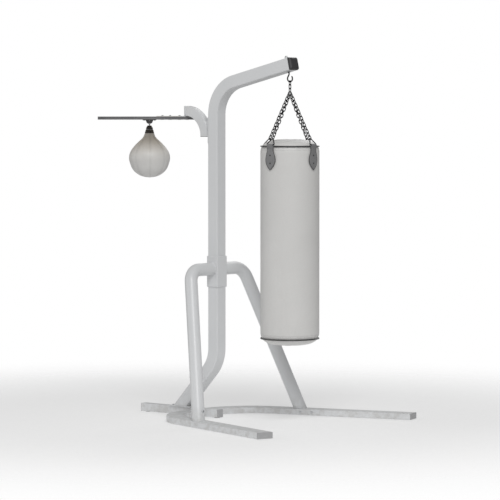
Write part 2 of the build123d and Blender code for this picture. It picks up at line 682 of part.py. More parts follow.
TAB_LOOP_IN = TRIANGLE_WIRE / 2 + 0.4
RIVET_SHANK = 1.5
RIVET_DROPS = (52, 98)
with BuildPart() as bag_tabs:
    for turn in range(0, 360, 90):
        around = math.radians(turn)
        out = Vector(math.cos(around), math.sin(around), 0)
        level = Vector(-out.Y, out.X, 0)
        face = Plane(Vector(HANG_X, 0, BAG_HIGH_Z) + out * (BAG_R - 12), x_dir=level, z_dir=out)
        with BuildPart(mode=Mode.PRIVATE) as strap:
            with BuildSketch(face):
                with BuildLine():
                    Polyline(
                        (-TAB_TOP_WIDE / 2, LOOP_Z - BAG_HIGH_Z), (TAB_TOP_WIDE / 2, LOOP_Z - BAG_HIGH_Z)
                    )
                    Spline(
                        (TAB_TOP_WIDE / 2, LOOP_Z - BAG_HIGH_Z),
                        (TAB_TOP_WIDE / 2, -20),
                        (TAB_WIDE / 2, -0.56 * TAB_LONG),
                        (0, -TAB_LONG),
                        tangents=[(0, -1), (-1, -0.9)],
                    )
                    Spline(
                        (-TAB_TOP_WIDE / 2, LOOP_Z - BAG_HIGH_Z),
                        (-TAB_TOP_WIDE / 2, -20),
                        (-TAB_WIDE / 2, -0.56 * TAB_LONG),
                        (0, -TAB_LONG),
                        tangents=[(0, -1), (1, -0.9)],
                    )
                make_face()
            extrude(amount=40)
        with BuildPart(mode=Mode.PRIVATE) as wall:
            with BuildSketch(Plane.XY.offset(BAG_HIGH_Z - TAB_LONG - 10)):
                with Locations((HANG_X, 0)):
                    Circle(TAB_OUT_R)
                    Circle(BAG_R + SEAT, mode=Mode.SUBTRACT)
            extrude(amount=TAB_LONG + 30)
        add(strap.part & wall.part)
        with BuildSketch(
            Plane(Vector(HANG_X, 0, LOOP_Z) + out * LOOP_R - level * (TAB_TOP_WIDE / 2), z_dir=level)
        ):
            Circle(TAB_LOOP_IN + TAB_THICK)
        extrude(amount=TAB_TOP_WIDE)
        with BuildSketch(
            Plane(Vector(HANG_X, 0, LOOP_Z) + out * LOOP_R - level * (TAB_TOP_WIDE / 2 + 5), z_dir=level)
        ):
            Circle(TAB_LOOP_IN)
        extrude(amount=TAB_TOP_WIDE + 10, mode=Mode.SUBTRACT)
        for drop in RIVET_DROPS:
            with Locations(Plane(Vector(HANG_X, 0, BAG_HIGH_Z - drop) + out * TAB_OUT_R, z_dir=out)):
                Cylinder(RIVET_SHANK + 0.1, 4 * TAB_THICK, mode=Mode.SUBTRACT)
save(bag_tabs.part, "bag_tabs")

with BuildPart() as tab_rivets:
    for turn in range(0, 360, 90):
        around = math.radians(turn)
        out = Vector(math.cos(around), math.sin(around), 0)
        for drop in RIVET_DROPS:
            with Locations(Plane(Vector(HANG_X, 0, BAG_HIGH_Z - drop) + out * TAB_OUT_R, z_dir=out)):
                add(button(RIVET_SHANK, TAB_THICK - 0.4, TAB_RIVET / 2, 2.2))
save(tab_rivets.part, "tab_rivets")

# ======================= heavy bag =======================
BAG_AXIS = Axis((HANG_X, 0, 0), (0, 0, 1))
CAP_FLAT_R = 0.83 * RIM_R


def bag_barrel(inset, low, high):
    """Solid of the bag's barrel, moved in by a skin thickness."""
    with BuildPart() as made:
        with BuildSketch(Plane.XZ):
            with BuildLine():
                Line((HANG_X, low), (HANG_X + RIM_R - inset, low))
                Spline(
                    (HANG_X + RIM_R - inset, low),
                    (HANG_X + BAG_R - inset, BAG_LOW_Z + RIM_CURVE),
                    tangents=[(0.5, 0.87), (0, 1)],
                )
                Line(
                    (HANG_X + BAG_R - inset, BAG_LOW_Z + RIM_CURVE),
                    (HANG_X + BAG_R - inset, BAG_HIGH_Z - RIM_CURVE),
                )
                Spline(
                    (HANG_X + BAG_R - inset, BAG_HIGH_Z - RIM_CURVE),
                    (HANG_X + RIM_R - inset, high),
                    tangents=[(0, 1), (-0.5, 0.87)],
                )
                Line((HANG_X + RIM_R - inset, high), (HANG_X, high))
                Line((HANG_X, high), (HANG_X, low))
            make_face()
        revolve(axis=BAG_AXIS)
    return made.part


with BuildPart() as bag_shell:
    add(bag_barrel(0, BAG_LOW_Z, BAG_HIGH_Z))
    add(bag_barrel(BAG_SKIN, BAG_LOW_Z, BAG_HIGH_Z), mode=Mode.SUBTRACT)
save(bag_shell.part, "bag_shell")

with BuildPart() as bag_filler:
    add(bag_barrel(BAG_SKIN + SEAT, BAG_LOW_Z + SEAT, BAG_HIGH_Z - SEAT))
save(bag_filler.part, "bag_filler")

for name, rim, way in (("bag_top_cap", BAG_HIGH_Z, 1), ("bag_bottom_cap", BAG_LOW_Z, -1)):
    with BuildPart() as bag_cap:
        with BuildSketch(Plane.XZ):
            with BuildLine():
                Line((HANG_X, rim), (HANG_X + RIM_R, rim))
                shoulder = Spline(
                    (HANG_X + RIM_R, rim),
                    (HANG_X + CAP_FLAT_R, rim + way * 0.72 * CAP_RISE),
                    (HANG_X, rim + way * CAP_RISE),
                    tangents=[(-0.5, way * 0.87), (-1, 0)],
                )
                Line((HANG_X, rim + way * CAP_RISE), (HANG_X, rim))
            make_face()
        revolve(axis=BAG_AXIS)
    save(bag_cap.part, name)

with BuildPart() as bag_piping:
    for rim, way in ((BAG_HIGH_Z, 1), (BAG_LOW_Z, -1)):
        with Locations((HANG_X, 0, rim + way * SEAT)):
            Torus(RIM_R + PIPE + 1, PIPE)
save(bag_piping.part, "bag_piping")

# ======================= elbow, saddle and bracket =======================
SADDLE_FACE = -MAST_X / 2 - SADDLE
ELBOW_START_X = ELBOW_REACH_X + ELBOW_BEND
ELBOW_OUT_R = ELBOW_BEND + ELBOW_DEEP / 2
with BuildLine(Plane.XZ) as elbow_path:
    elbow_rise = Line((ELBOW_START_X, ELBOW_Z - 2), (ELBOW_START_X, ELBOW_Z))
    JernArc(elbow_rise @ 1, tangent=(0, 1), radius=ELBOW_BEND, arc_size=90)
with BuildPart() as bracket_elbow:
    with BuildSketch(Plane.XY.offset(ELBOW_Z - 2)) as elbow_section:
        with Locations((ELBOW_START_X, 0)):
            tube_section(ELBOW_DEEP, ELBOW_WIDE, ELBOW_CORNER, ELBOW_WALL)
    sweep(path=elbow_path.line)
    with BuildSketch(Plane.XZ):
        with BuildLine():
            low = (SADDLE_FACE, ELBOW_Z - 2)
            high = (SADDLE_FACE, SADDLE_Z + 54)
            tip_angle = math.asin((SADDLE_Z + 54 - ELBOW_Z) / (ELBOW_OUT_R - 1))
            tip = (ELBOW_REACH_X + (ELBOW_OUT_R - 1) * math.cos(tip_angle), SADDLE_Z + 54)
            heel = (ELBOW_REACH_X + ELBOW_OUT_R - 1, ELBOW_Z)
            Line(low, high)
            Line(high, tip)
            RadiusArc(tip, heel, ELBOW_OUT_R - 1)
            Line(heel, (heel[0], ELBOW_Z - 2))
            Line((heel[0], ELBOW_Z - 2), low)
        make_face()
    extrude(amount=0.4 * ELBOW_WIDE, both=True)
save(bracket_elbow.part, "bracket_elbow")

with BuildPart() as elbow_cap:
    with BuildSketch(Plane.XY.offset(ELBOW_Z - 2)):
        with Locations((ELBOW_START_X, 0)):
            RectangleRounded(ELBOW_DEEP, ELBOW_WIDE, ELBOW_CORNER)
    extrude(amount=-END_CAP)
    with BuildSketch(Plane.XY.offset(ELBOW_Z - 2)):
        with Locations((ELBOW_START_X, 0)):
            RectangleRounded(ELBOW_DEEP - 2 * ELBOW_WALL - 4, ELBOW_WIDE - 2 * ELBOW_WALL - 4, 1)
    extrude(amount=9)
save(elbow_cap.part, "elbow_cap")

with BuildPart() as elbow_saddle:
    with BuildSketch(rear_plane(-MAST_X / 2, SADDLE_Z)):
        RectangleRounded(SADDLE_WIDE, SADDLE_TALL, 8)
        with Locations((0, -SADDLE_BOLT_UP), (0, SADDLE_BOLT_UP)):
            Circle(SADDLE_BOLT / 2 + BOLT_GAP, mode=Mode.SUBTRACT)
    extrude(amount=SADDLE)
save(elbow_saddle.part, "elbow_saddle")

with BuildPart() as saddle_bolts:
    with Locations(
        rear_plane(SADDLE_FACE, SADDLE_Z - SADDLE_BOLT_UP),
        rear_plane(SADDLE_FACE, SADDLE_Z + SADDLE_BOLT_UP),
    ):
        add(bolt(SADDLE_BOLT / 2, SADDLE + MAST_WALL + 10, 1.6 * SADDLE_BOLT, 0.6 * SADDLE_BOLT))
save(saddle_bolts.part, "saddle_bolts")

BRACKET_LEG = 5.0
BOARD_BOLT_X = (ELBOW_REACH_X - 34, ELBOW_REACH_X - 174)
BOARD_BOLT_Y = 35.0
board_spots = [(x, y) for x in BOARD_BOLT_X for y in (-BOARD_BOLT_Y, BOARD_BOLT_Y)]
with BuildPart() as board_bracket:
    with BuildSketch(Plane.XY.offset(BOARD_TOP)):
        with Locations((ELBOW_REACH_X - TONGUE_LONG / 2, 0)):
            RectangleRounded(TONGUE_LONG, TONGUE_WIDE, 10)
        with Locations(*board_spots):
            Circle(BOARD_BOLT / 2 + BOLT_GAP, mode=Mode.SUBTRACT)
    extrude(amount=TONGUE)
    with BuildSketch(rear_plane(ELBOW_REACH_X, BOARD_TOP + TONGUE + ELBOW_DEEP / 2)):
        RectangleRounded(ELBOW_WIDE + 12, ELBOW_DEEP, 3)
        with Locations((0, -ELBOW_DEEP / 4)):
            Rectangle(ELBOW_WIDE + 12, ELBOW_DEEP / 2)
    extrude(amount=BRACKET_LEG)
save(board_bracket.part, "board_bracket")

# ======================= platform =======================
TEE_BARREL = BOARD_BOLT / 2 + 1.4
TEE_DEEP = 11.0
with BuildPart() as platform_board:
    with BuildSketch(Plane.XY.offset(BOARD_LOW_Z)):
        with Locations((BOARD_X, 0)):
            Circle(BOARD_RADIUS - BAND)
        with Locations(*board_spots):
            Circle(BOARD_BOLT / 2 + BOLT_GAP, mode=Mode.SUBTRACT)
    extrude(amount=BOARD_THICK)
    with BuildSketch(Plane.XY.offset(BOARD_LOW_Z)):
        with Locations(*board_spots):
            Circle(TEE_BARREL + 0.1)
    extrude(amount=TEE_DEEP + 0.5, mode=Mode.SUBTRACT)
save(platform_board.part, "platform_board")

with BuildPart() as board_edge_band:
    with BuildSketch(Plane.XY.offset(BOARD_LOW_Z)):
        with Locations((BOARD_X, 0)):
            Circle(BOARD_RADIUS)
            Circle(BOARD_RADIUS - BAND, mode=Mode.SUBTRACT)
    extrude(amount=BOARD_THICK)
save(board_edge_band.part, "board_edge_band")

with BuildPart() as board_bolts:
    with Locations((0, 0, BOARD_TOP + TONGUE)):
        with Locations(*board_spots):
            add(bolt(BOARD_BOLT / 2, TONGUE + BOARD_THICK - 2, 1.6 * BOARD_BOLT, 0.6 * BOARD_BOLT))
save(board_bolts.part, "board_bolts")

with BuildPart() as board_tee_nuts:
    with BuildSketch(Plane.XY.offset(BOARD_LOW_Z)):
        with Locations(*board_spots):
            Circle(TEE_BARREL)
            Circle(BOARD_BOLT / 2 + PIN_FIT, mode=Mode.SUBTRACT)
    extrude(amount=TEE_DEEP)
    with BuildSketch(Plane.XY.offset(BOARD_LOW_Z)):
        with Locations(*board_spots):
            Circle(10)
            Circle(BOARD_BOLT / 2 + PIN_FIT, mode=Mode.SUBTRACT)
    extrude(amount=-1.5)
save(board_tee_nuts.part, "board_tee_nuts")

# ======================= swivel =======================
PIVOT_Z = BOARD_LOW_Z - SWIVEL_DROP
PIN_Z = PIVOT_Z - PIN_DROP
CUP_LOW_Z = PIVOT_Z - 4
CUP_LOW_R = 14.0
SCREW_RING = 32.0
BALL_FLAT = 7.0
with BuildPart() as swivel_socket:
    with BuildSketch(Plane.XY.offset(BOARD_LOW_Z)):
        with Locations((BOARD_X, 0)):
            Circle(SWIVEL_PLATE_R)
            with PolarLocations(SCREW_RING, 4, start_angle=45):
                Circle(2.5, mode=Mode.SUBTRACT)
    extrude(amount=-SWIVEL_PLATE)
    with BuildSketch(Plane.XZ):
        with BuildLine():
            Polyline(
                (BOARD_X, CUP_LOW_Z),
                (BOARD_X + CUP_LOW_R, CUP_LOW_Z),
                (BOARD_X + CUP_LOW_R + 2, CUP_LOW_Z + 1.5),
                (BOARD_X + SWIVEL_CUP_R, BOARD_LOW_Z - SWIVEL_PLATE - 4),
                (BOARD_X + SWIVEL_CUP_R + 2, BOARD_LOW_Z - SWIVEL_PLATE),
                (BOARD_X, BOARD_LOW_Z - SWIVEL_PLATE),
                (BOARD_X, CUP_LOW_Z),
            )
        make_face()
    revolve(axis=Axis((BOARD_X, 0, 0), (0, 0, 1)))
    with Locations((BOARD_X, 0, PIVOT_Z)):
        Sphere(SWIVEL_BALL + SOCKET_GAP, mode=Mode.SUBTRACT)
save(swivel_socket.part, "swivel_socket")

with BuildPart() as swivel_screws:
    with Locations(Plane((BOARD_X, 0, BOARD_LOW_Z - SWIVEL_PLATE), x_dir=(1, 0, 0), z_dir=(0, 0, -1))):
        with PolarLocations(SCREW_RING, 4, start_angle=45):
            add(button(2.2, SWIVEL_PLATE - 0.4, 4.6, 2.4))
save(swivel_screws.part, "swivel_screws")

with BuildPart() as swivel_ball:
    with Locations((BOARD_X, 0, PIVOT_Z)):
        Sphere(SWIVEL_BALL)
        Cylinder(STEM / 2 + PIN_FIT, 4 * SWIVEL_BALL, mode=Mode.SUBTRACT)
    split(bisect_by=Plane.XY.offset(PIVOT_Z + BALL_FLAT), keep=Keep.BOTTOM)
save(swivel_ball.part, "swivel_ball")

EYE_R = 8.0
EYE_WIDE = 9.0
with BuildPart() as swivel_stem:
    with BuildSketch(Plane.XY.offset(PIVOT_Z + BALL_FLAT + 0.1)):
        with Locations((BOARD_X, 0)):
            Circle(STEM / 2 + 1)
    extrude(amount=1.8)
    with BuildSketch(Plane.XY.offset(PIVOT_Z + BALL_FLAT + 0.1)):
        with Locations((BOARD_X, 0)):
            Circle(STEM / 2)
    extrude(amount=-(BALL_FLAT + PIN_DROP))
    eye_plane = Plane((BOARD_X - EYE_WIDE / 2, 0, PIN_Z), x_dir=(0, 1, 0), z_dir=(1, 0, 0))
    with BuildSketch(eye_plane):
        Circle(EYE_R)
    extrude(amount=EYE_WIDE)
    with BuildSketch(eye_plane.offset(-2)):
        Circle(PIN / 2 + PIN_FIT)
    extrude(amount=EYE_WIDE + 4, mode=Mode.SUBTRACT)
save(swivel_stem.part, "swivel_stem")

# ======================= speed ball =======================
NECK_LOW_Z = PIN_Z - 17
NECK_HIGH_Z = PIN_Z + 9
NECK_TOP_R = 12.0
SLOT = 5.0
PIN_LONG = 38.0
BALL_AXIS = Axis((BOARD_X, 0, 0), (0, 0, 1))
with BuildPart() as neck_cap:
    with BuildSketch(Plane.XZ):
        with BuildLine():
            Polyline(
                (BOARD_X, NECK_LOW_Z),
                (BOARD_X + SPEED_NECK_R, NECK_LOW_Z),
                (BOARD_X + SPEED_NECK_R, NECK_LOW_Z + 10),
                (BOARD_X + NECK_TOP_R, NECK_HIGH_Z),
                (BOARD_X, NECK_HIGH_Z),
                (BOARD_X, NECK_LOW_Z),
            )
        make_face()
    revolve(axis=BALL_AXIS)
    with BuildSketch(Plane.XZ):
        with Locations((BOARD_X, PIN_Z + 11)):
            Rectangle(2 * SLOT, 40)
    extrude(amount=2 * SPEED_NECK_R, both=True, mode=Mode.SUBTRACT)
    with BuildSketch(Plane(eye_plane.origin - eye_plane.z_dir * 40, x_dir=(0, 1, 0), z_dir=(1, 0, 0))):
        Circle(PIN / 2 + 0.02)
    extrude(amount=90, mode=Mode.SUBTRACT)
save(neck_cap.part, "neck_cap")

with BuildPart() as neck_pin:
    with BuildSketch(Plane((BOARD_X - PIN_LONG / 2, 0, PIN_Z), x_dir=(0, 1, 0), z_dir=(1, 0, 0))):
        Circle(PIN / 2)
    extrude(amount=PIN_LONG)
    chamfer(neck_pin.edges().filter_by(GeomType.CIRCLE), 0.6)
save(neck_pin.part, "neck_pin")

# radius of the ball's outline at each height above its lowest point
BALL_OUTLINE = (
    (58, 12),
    (98, 41),
    (120.5, 87.5),
    (SPEED_R, 117),
    (120.5, 152),
    (102, 182),
    (76, 211),
    (43, 240),
    (30, 269),
)


def speed_ball(inset):
    """Solid of the ball, moved in by a skin thickness."""
    tall = NECK_LOW_Z - SPEED_LOW_Z
    widest = SPEED_WIDE_Z - SPEED_LOW_Z
    points = []
    for radius, up in BALL_OUTLINE + ((SPEED_NECK_R + 1.5, tall),):
        lift = (widest - up) / widest if up < widest else (widest - up) / (tall - widest)
        points.append((BOARD_X + radius - inset, SPEED_LOW_Z + up + inset * lift))
    with BuildPart() as made:
        with BuildSketch(Plane.XZ):
            with BuildLine():
                Spline(
                    (BOARD_X, SPEED_LOW_Z + inset),
                    *points,
                    tangents=[(1, 0), (-0.05, 1)],
                )
                Line(points[-1], (BOARD_X, points[-1][1]))
                Line((BOARD_X, points[-1][1]), (BOARD_X, SPEED_LOW_Z + inset))
            make_face()
        revolve(axis=BALL_AXIS)
    return made.part


with BuildPart() as speed_ball_skin:
    add(speed_ball(0))
    add(speed_ball(SPEED_SKIN), mode=Mode.SUBTRACT)
save(speed_ball_skin.part, "speed_ball_skin")

with BuildPart() as speed_ball_bladder:
    add(speed_ball(SPEED_SKIN + SEAT))
save(speed_ball_bladder.part, "speed_ball_bladder")
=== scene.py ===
"""Free-standing boxing stand with a chain-hung heavy bag and a speed ball platform.

Metres, +Z up, +X toward the heavy bag. The sections follow the stand as it is bolted together.
"""

import math

import bpy
import numpy as np
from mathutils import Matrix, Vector, noise


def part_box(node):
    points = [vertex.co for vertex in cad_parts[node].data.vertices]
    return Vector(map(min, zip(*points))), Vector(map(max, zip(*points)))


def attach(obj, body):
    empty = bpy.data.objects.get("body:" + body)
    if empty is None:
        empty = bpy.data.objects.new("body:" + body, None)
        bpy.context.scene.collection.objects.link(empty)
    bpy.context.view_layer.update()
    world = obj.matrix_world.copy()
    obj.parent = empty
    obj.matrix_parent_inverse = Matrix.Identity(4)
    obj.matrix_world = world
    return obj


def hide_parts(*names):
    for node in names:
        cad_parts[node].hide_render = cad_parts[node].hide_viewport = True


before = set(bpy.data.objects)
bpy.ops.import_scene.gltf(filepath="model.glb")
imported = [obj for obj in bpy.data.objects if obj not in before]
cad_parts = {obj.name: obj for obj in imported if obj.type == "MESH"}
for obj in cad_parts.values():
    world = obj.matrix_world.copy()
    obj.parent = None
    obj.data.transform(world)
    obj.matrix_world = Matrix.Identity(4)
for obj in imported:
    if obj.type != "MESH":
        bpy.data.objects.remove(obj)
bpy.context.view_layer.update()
bpy.ops.object.select_all(action="DESELECT")


# ---------------------------------------------------------------------------
# Foot pads. Thin rubber discs glued under the base tubes, so the steel never
# touches the floor. Their material is the first, so the way materials are
# written down starts here.
# ---------------------------------------------------------------------------
class Amount:
    """A number that flows between a material's nodes, written like arithmetic."""

    def __init__(self, finish, socket):
        self.finish = finish
        self.socket = socket

    def maths(self, operation, first, second):
        return self.finish.node("ShaderNodeMath", {"operation": operation}, first, second)[0]

    def __add__(self, other):
        return self.maths("ADD", self, other)

    __radd__ = __add__

    def __sub__(self, other):
        return self.maths("SUBTRACT", self, other)

    def __rsub__(self, other):
        return self.maths("SUBTRACT", other, self)

    def __mul__(self, other):
        return self.maths("MULTIPLY", self, other)

    __rmul__ = __mul__


class Finish:
    """A surface finish: one material and its nodes."""

    def __init__(self, name, roughness=0.5, metallic=0.0, coat=0.0, sheen=0.0):
        self.material = bpy.data.materials.new(name)
        self.material.use_nodes = True
        self.tree = self.material.node_tree
        self.shader = self.tree.nodes["Principled BSDF"]
        self.shader.inputs["Roughness"].default_value = roughness
        self.shader.inputs["Metallic"].default_value = metallic
        self.shader.inputs["Coat Weight"].default_value = coat
        self.shader.inputs["Coat Roughness"].default_value = 0.25
        self.shader.inputs["Sheen Weight"].default_value = sheen
        self.place = self.node("ShaderNodeTexCoord")[3]

    def feed(self, socket, value):
        if isinstance(value, Amount):
            self.tree.links.new(value.socket, socket)
        else:
            socket.default_value = value

    def node(self, kind, settings=None, *values, **named):
        """Adds a node: its settings first, then its sockets by order or by name."""
        made = self.tree.nodes.new(kind)
        for key, value in (settings or {}).items():
            setattr(made, key, value)
        for i, value in enumerate(values):
            self.feed(made.inputs[i], value)
        for key, value in named.items():
            self.feed(made.inputs[key.replace("_", " ")], value)
        return [Amount(self, socket) for socket in made.outputs]

    def noise(self, scale, detail=4.0, roughness=0.55, place=None):
        return self.node(
            "ShaderNodeTexNoise",
            {},
            Vector=place or self.place,
            Scale=scale,
            Detail=detail,
            Roughness=roughness,
        )[0]

    def stretched(self, x, y, z):
        return self.node("ShaderNodeMapping", {}, Vector=self.place, Scale=(x, y, z))[0]

    def between(self, amount, low, high):
        """0 under low and 1 over high, smooth between."""
        return self.node(
            "ShaderNodeMapRange", {"interpolation_type": "SMOOTHSTEP"}, amount, low, high, 0.0, 1.0
        )[0]

    def blend(self, factor, first, second):
        made = self.tree.nodes.new("ShaderNodeMix")
        made.data_type = "RGBA"
        self.feed(made.inputs[0], factor)
        self.feed(made.inputs[6], first)
        self.feed(made.inputs[7], second)
        return Amount(self, made.outputs[2])

    def colour(self, value):
        self.feed(self.shader.inputs["Base Color"], value)

    def set(self, name, value):
        self.feed(self.shader.inputs[name], value)

    def relief(self, height, depth, over=None):
        """Bump of the given depth in metres."""
        sockets = {"Height": height, "Distance": depth, "Strength": 1.0}
        if over is not None:
            sockets["Normal"] = over
        bump = self.node("ShaderNodeBump", {}, **sockets)[0]
        self.feed(self.shader.inputs["Normal"], bump)
        return bump


def rgb(r, g, b):
    return (r, g, b, 1.0)


def wear(finish, *nodes):
    """Gives CAD nodes a finish."""
    for name in nodes:
        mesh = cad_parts[name].data
        mesh.materials.clear()
        mesh.materials.append(finish.material)


rubber = Finish("pad_rubber", roughness=0.8)
specks = rubber.noise(900, 3)
rubber.colour(rubber.blend(rubber.noise(40), rgb(0.035, 0.035, 0.035), rgb(0.07, 0.068, 0.065)))
rubber.relief(specks, 0.0002)
wear(rubber, "base_pads")

# ---------------------------------------------------------------------------
# Frame tubes and plates. Welded steel box tube and round tube, powder coated a
# light satin grey after welding: faint orange peel, dust toward the floor and a
# few rubbed patches.
# ---------------------------------------------------------------------------
coat = Finish("powder_coat", roughness=0.42, coat=0.25)
peel = coat.noise(620, 2, 0.5)
cloud = coat.noise(3.1, 5)
speck = coat.between(coat.noise(1500, 1), 0.66, 0.72)
rubbed = coat.between(coat.noise(9, 8, 0.7), 0.62, 0.70)
scratch = coat.between(coat.noise(1, 6, 0.8, coat.stretched(30, 30, 260)), 0.71, 0.74)
height = coat.node("ShaderNodeSeparateXYZ", {}, coat.place)[2]
dust = (1 - coat.between(height, 0.0, 0.16)) * coat.between(coat.noise(26, 6), 0.35, 0.7)
paint = coat.blend(cloud, rgb(0.66, 0.672, 0.685), rgb(0.76, 0.768, 0.775))
paint = coat.blend(speck * 0.25, paint, rgb(0.5, 0.51, 0.52))
paint = coat.blend(scratch * 0.35, paint, rgb(0.42, 0.43, 0.44))
coat.colour(coat.blend(dust * 0.45, paint, rgb(0.42, 0.40, 0.37)))
coat.set("Roughness", 0.38 + rubbed * 0.14 + cloud * 0.08 + dust * 0.25)
coat.relief(peel + scratch * -0.5, 0.00012)
wear(
    coat,
    "lower_mast", "upper_mast", "collar", "left_leg", "right_leg", "leg_stubs",
    "left_bow", "right_bow", "left_runner", "right_runner",
    "left_joint_sleeve", "right_joint_sleeve", "spine_bar", "mast_foot_plate",
    "elbow_saddle", "bracket_elbow", "board_bracket",
)

# ---------------------------------------------------------------------------
# End caps. Black polyethylene plugs pressed into the open tube ends, with the
# fine grain of a spark-eroded mould.
# ---------------------------------------------------------------------------
plastic = Finish("cap_plastic", roughness=0.48)
grain = plastic.noise(1400, 2)
plastic.colour(plastic.blend(plastic.noise(12), rgb(0.022, 0.022, 0.024), rgb(0.045, 0.045, 0.047)))
plastic.set("Roughness", 0.40 + grain * 0.2)
plastic.relief(grain, 0.00015)
wear(plastic, "arm_end_cap", "elbow_cap")
pale_plastic = Finish("cap_grey", roughness=0.5)
moulded = pale_plastic.noise(420, 3)
pale_cloud = pale_plastic.noise(14, 4)
pale_plastic.colour(pale_plastic.blend(pale_cloud, rgb(0.36, 0.36, 0.365), rgb(0.44, 0.44, 0.445)))
pale_plastic.set("Roughness", 0.44 + moulded * 0.2)
pale_plastic.relief(moulded, 0.00012)
wear(pale_plastic, "runner_caps", "spine_caps")

# ---------------------------------------------------------------------------
# Fasteners. Zinc-plated bolts, nuts, washers and screws, slightly cloudy, with
# darker lines where a spanner has turned them.
# ---------------------------------------------------------------------------
zinc = Finish("zinc_plate", roughness=0.3, metallic=1.0)
mottle = zinc.noise(240, 5)
turned_lines = zinc.noise(60, 3, 0.6, zinc.stretched(8, 8, 40))
zinc.colour(zinc.blend(mottle, rgb(0.50, 0.51, 0.53), rgb(0.70, 0.71, 0.71)))
zinc.set("Roughness", 0.22 + mottle * 0.25)
zinc.relief(turned_lines, 0.0001)
wear(
    zinc,
    "collar_bolts", "leg_bolts", "joint_bolts", "foot_bolts", "saddle_bolts",
    "board_bolts", "board_tee_nuts", "swivel_screws", "hook_washers", "hook_nut",
)

# ---------------------------------------------------------------------------
# Hook, links, rings. Bent and welded round bar, heat blackened and oiled, worn
# brighter in patches where the links rub.
# ---------------------------------------------------------------------------
black = Finish("black_steel", roughness=0.35, metallic=0.9)
scale_spots = black.noise(150, 6, 0.65)
rub = black.between(black.noise(70, 4), 0.60, 0.74)
steel = black.blend(scale_spots, rgb(0.020, 0.020, 0.022), rgb(0.055, 0.054, 0.055))
black.colour(black.blend(rub * 0.5, steel, rgb(0.20, 0.195, 0.19)))
black.set("Roughness", 0.46 - rub * 0.18 + scale_spots * 0.1)
black.relief(scale_spots, 0.00018)
wear(
    black,
    "hook", "hook_link", "drop_links", "gather_ring", "front_chain", "rear_chain",
    "left_chain", "right_chain", "triangle_rings", "tab_rivets",
)

# ---------------------------------------------------------------------------
# Swivel. A turned and polished ball and stem in a black enamelled socket, and
# the same enamel on the cap that holds the speed ball's neck.
# ---------------------------------------------------------------------------
polish = Finish("swivel_polish", roughness=0.14, metallic=1.0)
haze = polish.noise(300, 3)
polish.colour(polish.blend(haze, rgb(0.62, 0.63, 0.64), rgb(0.78, 0.78, 0.78)))
polish.set("Roughness", 0.10 + haze * 0.14)
wear(polish, "swivel_ball", "swivel_stem", "neck_pin")

enamel = Finish("black_enamel", roughness=0.22, coat=0.6)
ripple = enamel.noise(220, 2)
enamel.colour(enamel.blend(enamel.noise(60), rgb(0.018, 0.018, 0.02), rgb(0.04, 0.04, 0.042)))
enamel.relief(ripple, 0.00015)
wear(enamel, "swivel_socket", "neck_cap")

# ---------------------------------------------------------------------------
# Weld beads. Each joint of the frame is MIG welded before coating, so a bead
# with small overlapping ripples runs round it under the paint.
# ---------------------------------------------------------------------------
RIPPLE = 0.0026


def bead(name, points, body, thick=0.0026, closed=True):
    """A rippled weld bead along a line of points, riding on a body."""
    ring = [Vector(p) for p in points]
    if closed:
        ring.append(ring[0])
    line = []
    for start, end in zip(ring, ring[1:]):
        steps = max(1, round((end - start).length / (RIPPLE / 2)))
        line += [start.lerp(end, i / steps) for i in range(steps)]
    curve = bpy.data.curves.new(name, "CURVE")
    curve.dimensions = "3D"
    curve.bevel_depth = thick
    curve.bevel_resolution = 1
    run = curve.splines.new("POLY")
    run.points.add(len(line) - 1)
    for i, (knot, place) in enumerate(zip(run.points, line)):
        knot.co = (*place, 1)
        knot.radius = 1.0 + (0.13 if i % 2 else -0.13) + 0.10 * noise.noise(place * 90)
    run.use_cyclic_u = closed
    piece = bpy.data.objects.new(name, curve)
    bpy.context.scene.collection.objects.link(piece)
    bpy.ops.object.select_all(action="DESELECT")
    bpy.context.view_layer.objects.active = piece
    piece.select_set(True)
    bpy.ops.object.convert(target="MESH")
    bpy.ops.object.shade_smooth()
    piece.data.materials.append(coat.material)
    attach(piece, body)
    return piece


def rounded_box(low, high, height, corner):
    """Points round a level rounded rectangle."""
    points = []
    right, left = high[0] - corner, low[0] + corner
    back, front = high[1] - corner, low[1] + corner
    for turn, (x, y) in enumerate(((right, back), (left, back), (left, front), (right, front))):
        centre = Vector((x, y, 0))
        for i in range(5):
            angle = math.radians(90 * turn + 22.5 * i)
            reach = Vector((math.cos(angle), math.sin(angle), 0)) * corner
            points.append(centre + reach + Vector((0, 0, height)))
    return points


plate_low, plate_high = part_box("mast_foot_plate")
FOOT_HALF = 0.0517
FOOT_SIDE = 0.040
FOOT_CORNER = 0.008
BEAD_SEAT = 0.0006
foot_x = (plate_low.x + plate_high.x) / 2
bead(
    "foot_weld",
    rounded_box(
        (foot_x - FOOT_HALF, -FOOT_SIDE),
        (foot_x + FOOT_HALF, FOOT_SIDE),
        plate_high.z + BEAD_SEAT,
        FOOT_CORNER,
    ),
    "stand",
    0.0034,
)
saddle_low, saddle_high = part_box("elbow_saddle")
elbow_low, elbow_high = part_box("bracket_elbow")
for side in (-1, 1):
    edge = [
        (saddle_low.x - 0.0004, side * 0.0162, elbow_low.z),
        (saddle_low.x - 0.0004, side * 0.0162, saddle_high.z - 0.027),
    ]
    bead(f"saddle_weld_{'left' if side > 0 else 'right'}", edge, "stand", 0.0026, closed=False)
END_X = elbow_low.x + 0.0004
END_SIDE = 0.0203
END_FOOT = 1.8118
bead(
    "bracket_weld",
    [
        (END_X, -END_SIDE, elbow_high.z - 0.005),
        (END_X, -END_SIDE, END_FOOT + 0.004),
        (END_X, -END_SIDE + 0.004, END_FOOT),
        (END_X, END_SIDE - 0.004, END_FOOT),
        (END_X, END_SIDE, END_FOOT + 0.004),
        (END_X, END_SIDE, elbow_high.z - 0.005),
    ],
    "stand",
    0.002,
    closed=False,
)

